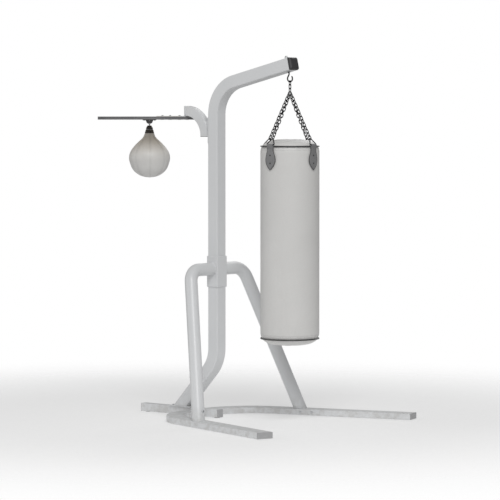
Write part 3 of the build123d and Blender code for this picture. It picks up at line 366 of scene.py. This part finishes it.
# ---------------------------------------------------------------------------
# Platform board. Birch plywood disc, lacquered, with its arrises eased, and a
# dark strip ironed round the edge that stands a hair proud of both faces.
# ---------------------------------------------------------------------------
def turned(name, outline, centre=(0, 0), steps=96):
    """Extrudes a point along (radius, height) places, then spins the line upright."""
    bpy.ops.object.select_all(action="DESELECT")
    bpy.ops.mesh.primitive_plane_add(size=0.01, calc_uvs=False)
    piece = bpy.context.object
    piece.name = name
    bpy.ops.object.mode_set(mode="EDIT")
    bpy.ops.mesh.select_all(action="SELECT")
    bpy.ops.mesh.merge(type="CENTER")
    start_r, start_z = outline[0]
    bpy.ops.transform.translate(value=(centre[0] + start_r, centre[1], start_z))
    for (r, z), (next_r, next_z) in zip(outline, outline[1:]):
        step = {"value": (next_r - r, 0, next_z - z)}
        bpy.ops.mesh.extrude_region_move(TRANSFORM_OT_translate=step)
    bpy.ops.mesh.select_all(action="SELECT")
    bpy.ops.mesh.spin(steps=steps, angle=math.tau, center=(*centre, 0), axis=(0, 0, 1))
    bpy.ops.mesh.select_all(action="SELECT")
    bpy.ops.mesh.remove_doubles(threshold=0.00002)
    bpy.ops.mesh.normals_make_consistent(inside=False)
    bpy.ops.object.mode_set(mode="OBJECT")
    bpy.ops.object.shade_smooth()
    return piece


def shaped(piece, *modifiers):
    """Adds modifiers to a piece and applies them, in order."""
    bpy.ops.object.select_all(action="DESELECT")
    bpy.context.view_layer.objects.active = piece
    piece.select_set(True)
    for kind, settings in modifiers:
        made = piece.modifiers.new(kind.title(), kind)
        for key, value in settings.items():
            setattr(made, key, value)
        bpy.ops.object.modifier_apply(modifier=made.name)
    return piece


BOARD_CENTRE = (-0.549, 0.0)
BOARD_R = 0.3145
EASED = 0.0022
board_low, board_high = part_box("platform_board")
round_over = [
    (
        BOARD_R - EASED + EASED * math.sin(math.radians(t)),
        board_high.z - EASED + EASED * math.cos(math.radians(t)),
    )
    for t in range(0, 91, 18)
]
under = [(r, board_low.z + board_high.z - z) for r, z in reversed(round_over)]
top_face = [(0.0, board_high.z), (0.1, board_high.z)]
low_face = [(0.1, board_low.z), (0.0, board_low.z)]
board = turned("board", top_face + round_over + under + low_face, BOARD_CENTRE, 180)
shaped(board, ("EDGE_SPLIT", {"split_angle": math.radians(40)}))
birch = Finish("birch_ply", roughness=0.4, coat=0.35)
warp = birch.noise(2.2, 4)
rings = birch.noise(1.0, 5, 0.6, birch.stretched(5, 46, 46))
fibre = birch.noise(1.0, 4, 0.7, birch.stretched(24, 700, 700))
tone = birch.blend(birch.between(rings, 0.3, 0.72), rgb(0.80, 0.70, 0.54), rgb(0.70, 0.58, 0.42))
tone = birch.blend(fibre * 0.35, tone, rgb(0.56, 0.44, 0.30))
tone = birch.blend(birch.between(warp, 0.35, 0.8) * 0.3, tone, rgb(0.86, 0.78, 0.64))
birch.colour(tone)
birch.set("Roughness", 0.30 + fibre * 0.25)
birch.relief(fibre, 0.0001)
board.data.materials.append(birch.material)
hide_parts("platform_board")
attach(board, "stand")

BAND_OUT = 0.316
BAND_PROUD = 0.0004
band_top = board_high.z + BAND_PROUD
band_low = board_low.z - BAND_PROUD
band_outline = [
    (BOARD_R - 0.0005, band_top - 0.0003),
    (BOARD_R + 0.0004, band_top),
    (BAND_OUT - 0.0004, band_top - 0.0002),
    (BAND_OUT, band_top - 0.0010),
    (BAND_OUT, (band_top + band_low) / 2 + 0.0012),
    (BAND_OUT - 0.0007, (band_top + band_low) / 2 + 0.0006),
    (BAND_OUT - 0.0007, (band_top + band_low) / 2 - 0.0006),
    (BAND_OUT, (band_top + band_low) / 2 - 0.0012),
    (BAND_OUT, band_low + 0.0010),
    (BAND_OUT - 0.0004, band_low + 0.0002),
    (BOARD_R + 0.0004, band_low),
    (BOARD_R - 0.0005, band_low + 0.0003),
    (BOARD_R - 0.0005, band_top - 0.0003),
]
band = turned("edge_strip", band_outline, BOARD_CENTRE, 180)
strip = Finish("edge_strip", roughness=0.45)
strip_grain = strip.noise(600, 3)
strip.colour(strip.blend(strip.noise(8), rgb(0.13, 0.13, 0.135), rgb(0.20, 0.20, 0.205)))
strip.set("Roughness", 0.40 + strip_grain * 0.2)
strip.relief(strip_grain, 0.0001)
band.data.materials.append(strip.material)
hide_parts("board_edge_band")
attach(band, "stand")

# ---------------------------------------------------------------------------
# Heavy bag. A sewn sleeve of coated hide, packed hard with textile, so it hangs
# almost straight, with shallow lumps in its wall and puckers beside its rims.
# ---------------------------------------------------------------------------
BAG_AT = (0.571, 0.0)
BAG_R = 0.175
RIM_R = 0.165
RIM_TOP = 1.634
RIM_LOW = 0.508
START_IN = 0.0022
SWELL_CAP = 0.0036
COLUMNS = 144


def soft_swell(piece, held, pressure, cap, frames=20):
    """Fills a piece with air by cloth simulation, holding some of its points."""
    start = [v.co.copy() for v in piece.data.vertices]
    group = piece.vertex_groups.new(name="held")
    group.add(held, 1.0, "REPLACE")
    bpy.ops.object.select_all(action="DESELECT")
    bpy.context.view_layer.objects.active = piece
    piece.select_set(True)
    cloth = piece.modifiers.new("Cloth", "CLOTH")
    cloth.settings.quality = 4
    cloth.settings.use_pressure = True
    cloth.settings.uniform_pressure_force = pressure
    cloth.settings.vertex_group_mass = "held"
    cloth.settings.tension_stiffness = 30
    cloth.settings.compression_stiffness = 30
    cloth.settings.bending_stiffness = 2
    cloth.settings.effector_weights.gravity = 0
    cloth.point_cache.frame_start = 1
    cloth.point_cache.frame_end = frames
    for step in range(1, frames + 1):
        bpy.context.scene.frame_set(step)
    bpy.ops.object.modifier_apply(modifier=cloth.name)
    bpy.context.scene.frame_set(1)
    for vertex, before in zip(piece.data.vertices, start):
        moved = vertex.co - before
        if moved.length > cap:
            vertex.co = before + moved * (cap / moved.length)
    piece.vertex_groups.clear()


def bag_radius(z):
    """Radius of the sleeve before it swells, drawn in at both rims."""
    near = min(RIM_TOP - z, z - RIM_LOW)
    if near > 0.034:
        return BAG_R - START_IN
    t = near / 0.034
    return RIM_R - START_IN + (BAG_R - RIM_R) * math.sin(math.pi / 2 * t) ** 0.8


rows = [RIM_TOP - (RIM_TOP - RIM_LOW) * i / 150 for i in range(151)]
sleeve_outline = [(0.0, RIM_TOP), (0.06, RIM_TOP), (0.12, RIM_TOP)]
sleeve_outline += [(bag_radius(z), z) for z in rows]
sleeve_outline += [(0.12, RIM_LOW), (0.06, RIM_LOW), (0.0, RIM_LOW)]
sleeve = turned("bag_sleeve", sleeve_outline, BAG_AT, COLUMNS)
for vertex in sleeve.data.vertices:
    away = Vector((vertex.co.x - BAG_AT[0], vertex.co.y, 0))
    if away.length < 0.13:
        continue
    out = away.normalized()
    ripple_seat = Vector((out.x * 3.1, out.y * 3.1, vertex.co.z * 2.0))
    lump = 0.0011 * noise.noise(ripple_seat * 2.2) + 0.0006 * noise.noise(ripple_seat * 6.5)
    near = min(RIM_TOP - vertex.co.z, vertex.co.z - RIM_LOW)
    angle = math.atan2(out.y, out.x)
    gather = math.sin(angle * 46 + 2.5 * noise.noise(out * 4)) * math.exp(-near / 0.016) * 0.0009
    gather *= math.sin(min(1.0, near / 0.008) * math.pi / 2)
    vertex.co += out * (lump + gather)
held = [
    v.index
    for v in sleeve.data.vertices
    if v.co.z > RIM_TOP - 0.004 or v.co.z < RIM_LOW + 0.004
]
soft_swell(sleeve, held, 4.0, SWELL_CAP)
for vertex in sleeve.data.vertices:
    away = Vector((vertex.co.x - BAG_AT[0], vertex.co.y, 0))
    if away.length > BAG_R - 0.0001:
        vertex.co -= away.normalized() * (away.length - BAG_R + 0.0001)

hide = Finish("bag_hide", roughness=0.46, coat=0.12)


def hide_grain(finish, pore):
    """Pebbled hide: cells for the pebbles, finer noise for pores, soft creases."""
    cells = finish.node(
        "ShaderNodeTexVoronoi", {"feature": "DISTANCE_TO_EDGE"}, Vector=finish.place, Scale=pore
    )[0]
    pebbles = finish.between(cells, 0.0, 0.24)
    fine = finish.noise(pore * 4, 2)
    crease = finish.noise(1, 5, 0.6, finish.stretched(26, 26, 9))
    return pebbles, pebbles * 0.6 + fine * 0.25 + crease * 1.1, crease


pebbles, pelt, crease = hide_grain(hide, 420)
patch = hide.noise(4.2, 6)
scuff = hide.between(hide.noise(30, 8, 0.72), 0.60, 0.72)
tan = hide.blend(patch, rgb(0.70, 0.695, 0.68), rgb(0.80, 0.795, 0.78))
# Painted shade: the hide's colour is darkened in the grooves between the pebbles, where the relief
# sinks.
tan = hide.blend((1 - pebbles) * 0.35, tan, rgb(0.50, 0.49, 0.475))
hide.colour(hide.blend(scuff * 0.25, tan, rgb(0.60, 0.585, 0.56)))
hide.set("Roughness", 0.40 + scuff * 0.18 + patch * 0.08)
hide.relief(pelt, 0.00035)
sleeve.data.materials.append(hide.material)
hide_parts("bag_shell", "bag_filler")
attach(sleeve, "heavy_bag")

# ---------------------------------------------------------------------------
# Bag ends. Two round panels of the same hide, sewn to the sleeve and domed by the
# packing; the top one is drawn in by its lacing of darts.
# ---------------------------------------------------------------------------
DOME = 0.039
for label, rim, way, node in (
    ("bag_top", RIM_TOP, 1, "bag_top_cap"),
    ("bag_foot", RIM_LOW, -1, "bag_bottom_cap"),
):
    outline = [(0.0, rim + way * DOME)]
    for i in range(1, 25):
        r = (RIM_R - 0.0012) * i / 24
        t = i / 24
        outline.append((r, rim + way * (DOME * (1 - t ** 4.2) ** 0.75 + 0.0002)))
    outline += [(0.10, rim + way * 0.0002), (0.0, rim + way * 0.0002)]
    end = turned(label, outline, BAG_AT, COLUMNS)
    for vertex in end.data.vertices:
        away = Vector((vertex.co.x - BAG_AT[0], vertex.co.y, 0))
        lift = abs(vertex.co.z - rim)
        if lift < 0.001 or away.length < 0.004:
            continue
        out = away.normalized()
        spread = away.length / RIM_R
        angle = math.atan2(out.y, out.x)
        pucker = math.sin(angle * 32 + 1.7 * noise.noise(out * 3)) * spread ** 6 * 0.0009
        lump = 0.0016 * noise.noise(Vector((out.x * spread * 3, out.y * spread * 3, rim)) * 1.4)
        vertex.co.z += way * (lump * (1 - spread ** 3) - abs(pucker))
    ring = [v.index for v in end.data.vertices if abs(v.co.z - rim) < 0.004]
    soft_swell(end, ring, 3.0, 0.0015, 12)
    end.data.materials.append(hide.material)
    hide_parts(node)
    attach(end, "heavy_bag")

# ---------------------------------------------------------------------------
# Welts. A cord wrapped in glossy black hide and sewn into the seam between the
# sleeve and each end; the wrap is slightly pulled at every stitch.
# ---------------------------------------------------------------------------
gloss = Finish("welt_hide", roughness=0.3, coat=0.3)
gloss_grain = gloss.noise(700, 3)
gloss.colour(gloss.blend(gloss.noise(30), rgb(0.018, 0.018, 0.019), rgb(0.04, 0.04, 0.041)))
gloss.set("Roughness", 0.26 + gloss_grain * 0.18)
gloss.relief(gloss_grain, 0.0002)
WELT_R = 0.170
WELT = 0.0040
welt_rows = []
for label, rim, way in (("top", RIM_TOP, 1), ("foot", RIM_LOW, -1)):
    bpy.ops.object.select_all(action="DESELECT")
    bpy.ops.mesh.primitive_torus_add(
        location=(*BAG_AT, rim + way * 0.0003),
        major_radius=WELT_R,
        minor_radius=WELT,
        major_segments=440,
        minor_segments=14,
    )
    welt = bpy.context.object
    bpy.ops.object.transform_apply(location=True)
    bpy.ops.object.shade_smooth()
    for vertex in welt.data.vertices:
        away = Vector((vertex.co.x - BAG_AT[0], vertex.co.y, 0))
        angle = math.atan2(away.y, away.x)
        pull = 0.00022 * (1 - abs(math.sin(angle * 110)))
        middle = away.normalized() * WELT_R + Vector((*BAG_AT, rim + way * 0.0003))
        vertex.co += (middle - vertex.co).normalized() * pull
    welt_rows.append(welt)
bpy.ops.object.select_all(action="DESELECT")
for welt in welt_rows:
    welt.select_set(True)
bpy.context.view_layer.objects.active = welt_rows[0]
bpy.ops.object.join()
welts = bpy.context.object
welts.name = "bag_welts"
welts.data.materials.append(gloss.material)
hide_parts("bag_piping")
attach(welts, "heavy_bag")

# ---------------------------------------------------------------------------
# Stitching on the bag. Bonded nylon thread, two rows beside each welt and two
# down the back seam, each stitch bedded into the hide at both its ends.
# ---------------------------------------------------------------------------
thread = Finish("thread", roughness=0.6, sheen=0.3)
twist = thread.noise(2600, 2)
thread.colour(thread.blend(twist, rgb(0.20, 0.20, 0.205), rgb(0.42, 0.42, 0.42)))
thread.relief(twist, 0.0001)


def stitches(name, places, body, length=0.0042, thick=0.0005, onto=None):
    """Copies one stitch to each (centre, along, out) place, laid onto a piece if one is given."""
    bpy.context.view_layer.update()
    bpy.ops.object.select_all(action="DESELECT")
    bpy.ops.mesh.primitive_uv_sphere_add(segments=8, ring_count=6, radius=1.0)
    one = bpy.context.object
    shape = np.array([v.co for v in one.data.vertices])
    faces = [list(p.vertices) for p in one.data.polygons]
    bpy.data.objects.remove(one)
    shape = shape * np.array([length / 2, thick, thick * 0.8])
    corners, polygons = [], []
    for centre, along, out in places:
        if onto is not None:
            hit, near, facing, face = onto.closest_point_on_mesh(Vector(centre))
            if hit:
                centre, out = near + facing * thick * 0.3, facing
        along, out = Vector(along).normalized(), Vector(out).normalized()
        side = out.cross(along)
        turn = np.array([along, side, out])
        base = len(corners)
        corners += (shape @ turn + np.array(centre)).tolist()
        polygons += [[base + i for i in face] for face in faces]
    mesh = bpy.data.meshes.new(name)
    mesh.from_pydata(corners, [], polygons)
    piece = bpy.data.objects.new(name, mesh)
    bpy.context.scene.collection.objects.link(piece)
    mesh.shade_smooth()
    mesh.materials.append(thread.material)
    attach(piece, body)
    return piece


PITCH = 0.0056
places = []
for height in (RIM_TOP - 0.013, RIM_TOP - 0.022, RIM_LOW + 0.013, RIM_LOW + 0.022):
    around = round(math.tau * BAG_R / PITCH)
    for i in range(around):
        angle = math.tau * i / around
        out = Vector((math.cos(angle), math.sin(angle), 0))
        radius = min(bag_radius(height) + START_IN + 0.0001, BAG_R)
        places.append((Vector((*BAG_AT, height)) + out * radius, (-out.y, out.x, 0), out))
stitches("rim_stitching", places, "heavy_bag", onto=sleeve)

SEAM_TURN = math.radians(78)
bpy.ops.object.select_all(action="DESELECT")
bpy.ops.mesh.primitive_grid_add(x_subdivisions=8, y_subdivisions=120, size=1)
strap = bpy.context.object
strap.name = "back_seam"
SEAM_WIDE = 0.034
SEAM_TALL = RIM_TOP - RIM_LOW - 0.012
for vertex in strap.data.vertices:
    side, up = vertex.co.x * SEAM_WIDE, vertex.co.y * SEAM_TALL
    turn = SEAM_TURN + side / BAG_R
    z = (RIM_TOP + RIM_LOW) / 2 + up
    radius = min(bag_radius(z) + START_IN, BAG_R) + 0.0004
    vertex.co = Vector((*BAG_AT, z)) + Vector((math.cos(turn), math.sin(turn), 0)) * radius
shaped(
    strap,
    ("SOLIDIFY", {"thickness": 0.0016, "offset": 1.0}),
    ("BEVEL", {"width": 0.0006, "segments": 2}),
)
bpy.ops.object.shade_smooth()
strap.data.materials.append(hide.material)
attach(strap, "heavy_bag")
places = []
for offset in (-0.012, 0.012):
    for i in range(int((SEAM_TALL - 0.02) / PITCH)):
        z = RIM_LOW + 0.016 + i * PITCH
        turn = SEAM_TURN + offset / BAG_R
        out = Vector((math.cos(turn), math.sin(turn), 0))
        radius = min(bag_radius(z) + START_IN, BAG_R) + 0.0021
        places.append((Vector((*BAG_AT, z)) + out * radius, (0, 0, 1), out))
stitches("seam_stitching", places, "heavy_bag", onto=strap)

# ---------------------------------------------------------------------------
# Hanging tabs. Four straps of thick grey hide, doubled over the foot of each
# triangle ring, riveted and sewn to the sleeve, their edges bound in black.
# ---------------------------------------------------------------------------
TAB_FACE = 0.1787
TAB_TIP = 1.498
WIRE_AT = (0.17805, 1.643)
WRAP = 0.0052
tab_hide = Finish("tab_hide", roughness=0.5, coat=0.1)
tab_pebbles, tab_pelt, tab_crease = hide_grain(tab_hide, 520)
tab_tone = tab_hide.blend(tab_hide.noise(18, 5), rgb(0.20, 0.20, 0.205), rgb(0.29, 0.29, 0.295))
# Painted shade: the tab hide's colour is darkened in the grooves between the pebbles, where the
# relief sinks.
tab_hide.colour(tab_hide.blend((1 - tab_pebbles) * 0.4, tab_tone, rgb(0.10, 0.10, 0.10)))
tab_hide.set("Roughness", 0.42 + tab_crease * 0.2)
tab_hide.relief(tab_pelt, 0.0003)


def tab_half_width(z):
    """Half width of the strap at a height: a neck, a belly and a point."""
    if z >= 1.614:
        return 0.0215
    if z >= 1.556:
        t = (1.614 - z) / (1.614 - 1.556)
        return 0.0215 + 0.0140 * math.sin(math.pi / 2 * t) ** 1.6
    t = (z - TAB_TIP) / (1.556 - TAB_TIP)
    return 0.0355 * max(0.0, math.sin(math.pi / 2 * min(1.0, t))) ** 0.85


def tab_path():
    """(radius, height) points from the strap's tip up, over the wire and down."""
    points = []
    for i in range(34):
        z = TAB_TIP + (1.618 - TAB_TIP) * i / 33
        points.append((TAB_FACE, z))
    for i in range(1, 8):
        t = i / 8
        ease = t * t * (3 - 2 * t)
        points.append((TAB_FACE + (WIRE_AT[0] + WRAP - TAB_FACE) * ease, 1.618 + 0.025 * t))
    for i in range(13):
        angle = math.pi * i / 12
        points.append((WIRE_AT[0] + WRAP * math.cos(angle), WIRE_AT[1] + WRAP * math.sin(angle)))
    for i in range(1, 9):
        t = i / 8
        inner = WIRE_AT[0] - WRAP
        inward = (0.1764 - WIRE_AT[0] + WRAP) * min(1.0, t * 2)
        points.append((inner + inward, WIRE_AT[1] - 0.05 * t))
    return points


for number in range(4):
    turn = math.radians(90 * number)
    bpy.ops.object.select_all(action="DESELECT")
    path = tab_path()
    bpy.ops.mesh.primitive_grid_add(x_subdivisions=12, y_subdivisions=len(path) - 1, size=2)
    tab = bpy.context.object
    tab.name = f"hanging_tab_{number + 1}"
    for vertex in tab.data.vertices:
        across_tab = vertex.co.x
        step = round((vertex.co.y + 1) / 2 * (len(path) - 1))
        radius, z = path[step]
        half = tab_half_width(z) if step < 41 else 0.0212
        side = across_tab * max(half, 0.0006)
        arc = turn + side / BAG_R if step < 34 else turn
        out = Vector((math.cos(arc), math.sin(arc), 0))
        place = Vector((*BAG_AT, z)) + out * radius
        if step >= 34:
            level = Vector((-math.sin(turn), math.cos(turn), 0))
            sag = (1 - math.sqrt(max(0.0, 1 - (side / BAG_R) ** 2))) * BAG_R
            place += level * side - out * sag * max(0.0, 1 - (step - 34) / 7)
        vertex.co = place
    shaped(
        tab,
        ("SOLIDIFY", {"thickness": 0.0030, "offset": 0.0}),
        ("BEVEL", {"width": 0.0007, "segments": 2, "limit_method": "ANGLE"}),
    )
    bpy.ops.object.shade_smooth()
    tab.data.materials.append(tab_hide.material)
    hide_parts("bag_tabs")
    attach(tab, "heavy_bag")

    edge = []
    heights = [TAB_TIP + 0.001 + (1.625 - TAB_TIP) * (i / 60) ** 1.5 for i in range(61)]
    for side, run in ((1, reversed(heights)), (-1, heights)):
        for z in run:
            arc = turn + side * tab_half_width(z) / BAG_R
            out = Vector((math.cos(arc), math.sin(arc), 0))
            edge.append(Vector((*BAG_AT, z)) + out * (TAB_FACE + 0.0006))
    curve = bpy.data.curves.new("binding", "CURVE")
    curve.dimensions = "3D"
    curve.bevel_depth = 0.0019
    curve.bevel_resolution = 2
    curve.use_fill_caps = True
    run = curve.splines.new("POLY")
    run.points.add(len(edge) - 1)
    for knot, place in zip(run.points, edge):
        knot.co = (*place, 1)
    binding = bpy.data.objects.new(f"tab_binding_{number + 1}", curve)
    bpy.context.scene.collection.objects.link(binding)
    bpy.ops.object.select_all(action="DESELECT")
    bpy.context.view_layer.objects.active = binding
    binding.select_set(True)
    bpy.ops.object.convert(target="MESH")
    bpy.ops.object.shade_smooth()
    binding.data.materials.append(gloss.material)
    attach(binding, "heavy_bag")

    places = []
    INSET = 0.0048
    steps = [TAB_TIP + 0.010 + i * 0.0044 for i in range(27)]
    for side in (-1, 1):
        for z in steps:
            half = tab_half_width(z) - INSET
            ahead = tab_half_width(z + 0.002) - tab_half_width(z - 0.002)
            arc = turn + side * half / BAG_R
            out = Vector((math.cos(arc), math.sin(arc), 0))
            level = Vector((-math.sin(arc), math.cos(arc), 0))
            along = level * side * ahead + Vector((0, 0, 0.004))
            if half > 0.003:
                places.append((Vector((*BAG_AT, z)) + out * (TAB_FACE + 0.0016), along, out))
    stitches(f"tab_stitching_{number + 1}", places, "heavy_bag", 0.0034, 0.00045)

# ---------------------------------------------------------------------------
# Speed ball. Eight gores of hide sewn edge to edge over a latex bladder; the air
# puffs each gore out between its seams, and a lace closes the throat.
# ---------------------------------------------------------------------------
BALL_AT = (-0.549, 0.0)
GORES = 8
PER_GORE = 14
BALL_POINTS = [
    (0.0, 1.4362), (0.030, 1.4395), (0.058, 1.4478), (0.080, 1.4610), (0.098, 1.4772),
    (0.112, 1.4985), (0.1205, 1.5245), (0.1256, 1.541), (0.1268, 1.5548), (0.1252, 1.573),
    (0.1203, 1.5885), (0.112, 1.6045), (0.1018, 1.6185), (0.0895, 1.633), (0.0758, 1.6472),
    (0.0590, 1.6622), (0.0430, 1.6765), (0.0352, 1.690), (0.0298, 1.7052), (0.0255, 1.7172),
    (0.0225, 1.7272),
]


def smooth_line(points, count):
    """Points evenly along a smooth curve through the given ones."""
    curve = bpy.data.curves.new("line", "CURVE")
    curve.dimensions = "3D"
    curve.resolution_u = 12
    run = curve.splines.new("NURBS")
    run.points.add(len(points) - 1)
    for knot, (r, z) in zip(run.points, points):
        knot.co = (r, 0, z, 1)
    run.order_u = 3
    run.use_endpoint_u = True
    holder = bpy.data.objects.new("line", curve)
    mesh = bpy.data.meshes.new_from_object(holder)
    walk = [v.co.copy() for v in mesh.vertices]
    bpy.data.objects.remove(holder)
    reach = [0.0]
    for a, b in zip(walk, walk[1:]):
        reach.append(reach[-1] + (b - a).length)
    out = []
    for i in range(count):
        want = reach[-1] * i / (count - 1)
        k = min(max(1, int(np.searchsorted(reach, want))), len(reach) - 1)
        share = (want - reach[k - 1]) / max(1e-9, reach[k] - reach[k - 1])
        place = walk[k - 1].lerp(walk[k], share)
        out.append((place.x, place.z))
    return out


ball_line = smooth_line(BALL_POINTS, 84)
ball_line[0] = (0.0, ball_line[0][1])
ball_outline = [(max(0.0, r - 0.0014) if i else 0.0, z) for i, (r, z) in enumerate(ball_line)]
ball_outline += [(0.010, 1.7274), (0.0, 1.7274)]
ball = turned("ball_skin", ball_outline, BALL_AT, GORES * PER_GORE)


def gore_place(place):
    """0 on a seam, 1 in the middle of a gore."""
    angle = math.atan2(place.y - BALL_AT[1], place.x - BALL_AT[0]) * GORES / math.tau
    return abs(math.sin(math.pi * angle))


for vertex in ball.data.vertices:
    away = Vector((vertex.co.x - BALL_AT[0], vertex.co.y, 0))
    if away.length > 0.004 and vertex.co.z < 1.7268:
        share = gore_place(vertex.co)
        dip = 0.0016 * math.exp(-share * 9.0) * min(1.0, away.length / 0.04)
        puff = 0.0012 * share ** 0.6 * min(1.0, away.length / 0.06)
        centre = Vector((*BALL_AT, 1.56))
        push = (vertex.co - centre).normalized()
        vertex.co += push * (puff - dip)
held = [
    v.index
    for v in ball.data.vertices
    if gore_place(v.co) < 0.02
    or v.co.z > 1.712
    or (v.co - Vector((*BALL_AT, v.co.z))).length < 0.012
]
soft_swell(ball, held, 4.0, 0.0016)
ball_hide = Finish("ball_hide", roughness=0.4, coat=0.15)
ball_pebbles, ball_pelt, ball_crease = hide_grain(ball_hide, 620)
ball_tone = ball_hide.blend(ball_hide.noise(9, 6), rgb(0.68, 0.67, 0.65), rgb(0.78, 0.775, 0.76))
# Painted shade: the ball hide's colour is darkened in the grooves between the pebbles, where the
# relief sinks.
ball_hide.colour(ball_hide.blend((1 - ball_pebbles) * 0.35, ball_tone, rgb(0.46, 0.45, 0.43)))
ball_hide.set("Roughness", 0.34 + ball_crease * 0.2)
ball_hide.relief(ball_pelt, 0.00028)
ball.data.materials.append(ball_hide.material)
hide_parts("speed_ball_skin", "speed_ball_bladder")
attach(ball, "speed_ball")

places = []
seam_line = smooth_line(BALL_POINTS, 150)[9:-6]
for gore in range(GORES):
    for side in (-1, 1):
        for (r, z), (r2, z2) in zip(seam_line[::2], seam_line[1::2]):
            angle = math.tau * gore / GORES + side * 0.0034 / max(r, 0.02)
            out = Vector((math.cos(angle), math.sin(angle), 0))
            along = Vector((out.x * (r2 - r), out.y * (r2 - r), z2 - z))
            level = Vector((-out.y, out.x, 0))
            normal = level.cross(along).normalized()
            normal = normal if normal.dot(out) > 0 else -normal
            place = Vector((*BALL_AT, z)) + out * (r - 0.0013)
            places.append((place, along, normal))
stitches("ball_stitching", places, "speed_ball", 0.0036, 0.00055, ball)

# ---------------------------------------------------------------------------
# Throat collar. A strip of black hide wraps the top of the ball where the gores
# end, and its lower edge is pressed into the skin.
# ---------------------------------------------------------------------------
throat = turned(
    "throat_wrap",
    [
        (0.0206, 1.7272), (0.0236, 1.7276), (0.0242, 1.7262), (0.0252, 1.7200), (0.0268, 1.7150),
        (0.0288, 1.7092), (0.0290, 1.7078), (0.0282, 1.7070), (0.0262, 1.7120), (0.0206, 1.7200),
        (0.0206, 1.7272),
    ],
    BALL_AT,
    64,
)
throat.data.materials.append(gloss.material)
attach(throat, "speed_ball")

# ---------------------------------------------------------------------------
# Floor, light and camera.
# ---------------------------------------------------------------------------
bpy.ops.mesh.primitive_plane_add(size=60)
ground = bpy.context.object
ground.name = "floor"
paper = Finish("floor_white", roughness=0.9)
paper.colour(rgb(0.62, 0.62, 0.62))
away = paper.node("ShaderNodeVectorMath", {"operation": "LENGTH"}, paper.place)[1]
paper.set("Alpha", 1 - paper.between(away, 1.3, 4.2))
paper.set("Emission Color", rgb(1, 1, 1))
paper.set("Emission Strength", 0.34)
ground.data.materials.append(paper.material)


def lamp(name, place, aim, size, power, tint=(1, 1, 1)):
    """A square soft light that faces a point."""
    bpy.ops.object.light_add(type="AREA", location=place)
    light = bpy.context.object
    light.name = name
    light.data.shape = "SQUARE"
    light.data.size = size
    light.data.energy = power
    light.data.color = tint
    light.rotation_euler = (Vector(aim) - Vector(place)).to_track_quat("-Z", "Y").to_euler()


lamp("key_light", (5.5, -5.0, 6.5), (0, 0, 1), 4.0, 400)
lamp("fill_light", (-6.0, -5.0, 4.0), (0, 0, 1), 5.0, 90)
lamp("back_light", (-2.0, 6.5, 5.0), (0, 0, 1.2), 4.0, 90)

world = bpy.data.worlds.new("studio")
bpy.context.scene.world = world
world.use_nodes = True
sky = world.node_tree
dim = sky.nodes["Background"]
dim.inputs["Color"].default_value = (1, 1, 1, 1)
dim.inputs["Strength"].default_value = 0.30
seen = sky.nodes.new("ShaderNodeBackground")
seen.inputs["Color"].default_value = (1, 1, 1, 1)
seen.inputs["Strength"].default_value = 1.0
either = sky.nodes.new("ShaderNodeMixShader")
rays = sky.nodes.new("ShaderNodeLightPath")
sky.links.new(rays.outputs["Is Camera Ray"], either.inputs[0])
sky.links.new(dim.outputs[0], either.inputs[1])
sky.links.new(seen.outputs[0], either.inputs[2])
sky.links.new(either.outputs[0], sky.nodes["World Output"].inputs["Surface"])

CAMERA_TURN = 40.78
CAMERA_TILT = 2.678
view = bpy.data.cameras.new("camera")
view.lens = 202.5
view.sensor_width = 36.0
view.clip_end = 200
camera = bpy.data.objects.new("camera", view)
camera.location = (11.154, -12.627, 1.7967)
camera.rotation_euler = (math.radians(90 - CAMERA_TILT), 0, math.radians(CAMERA_TURN))
bpy.context.scene.collection.objects.link(camera)
bpy.context.scene.camera = camera
bpy.context.scene.view_settings.view_transform = "Standard"
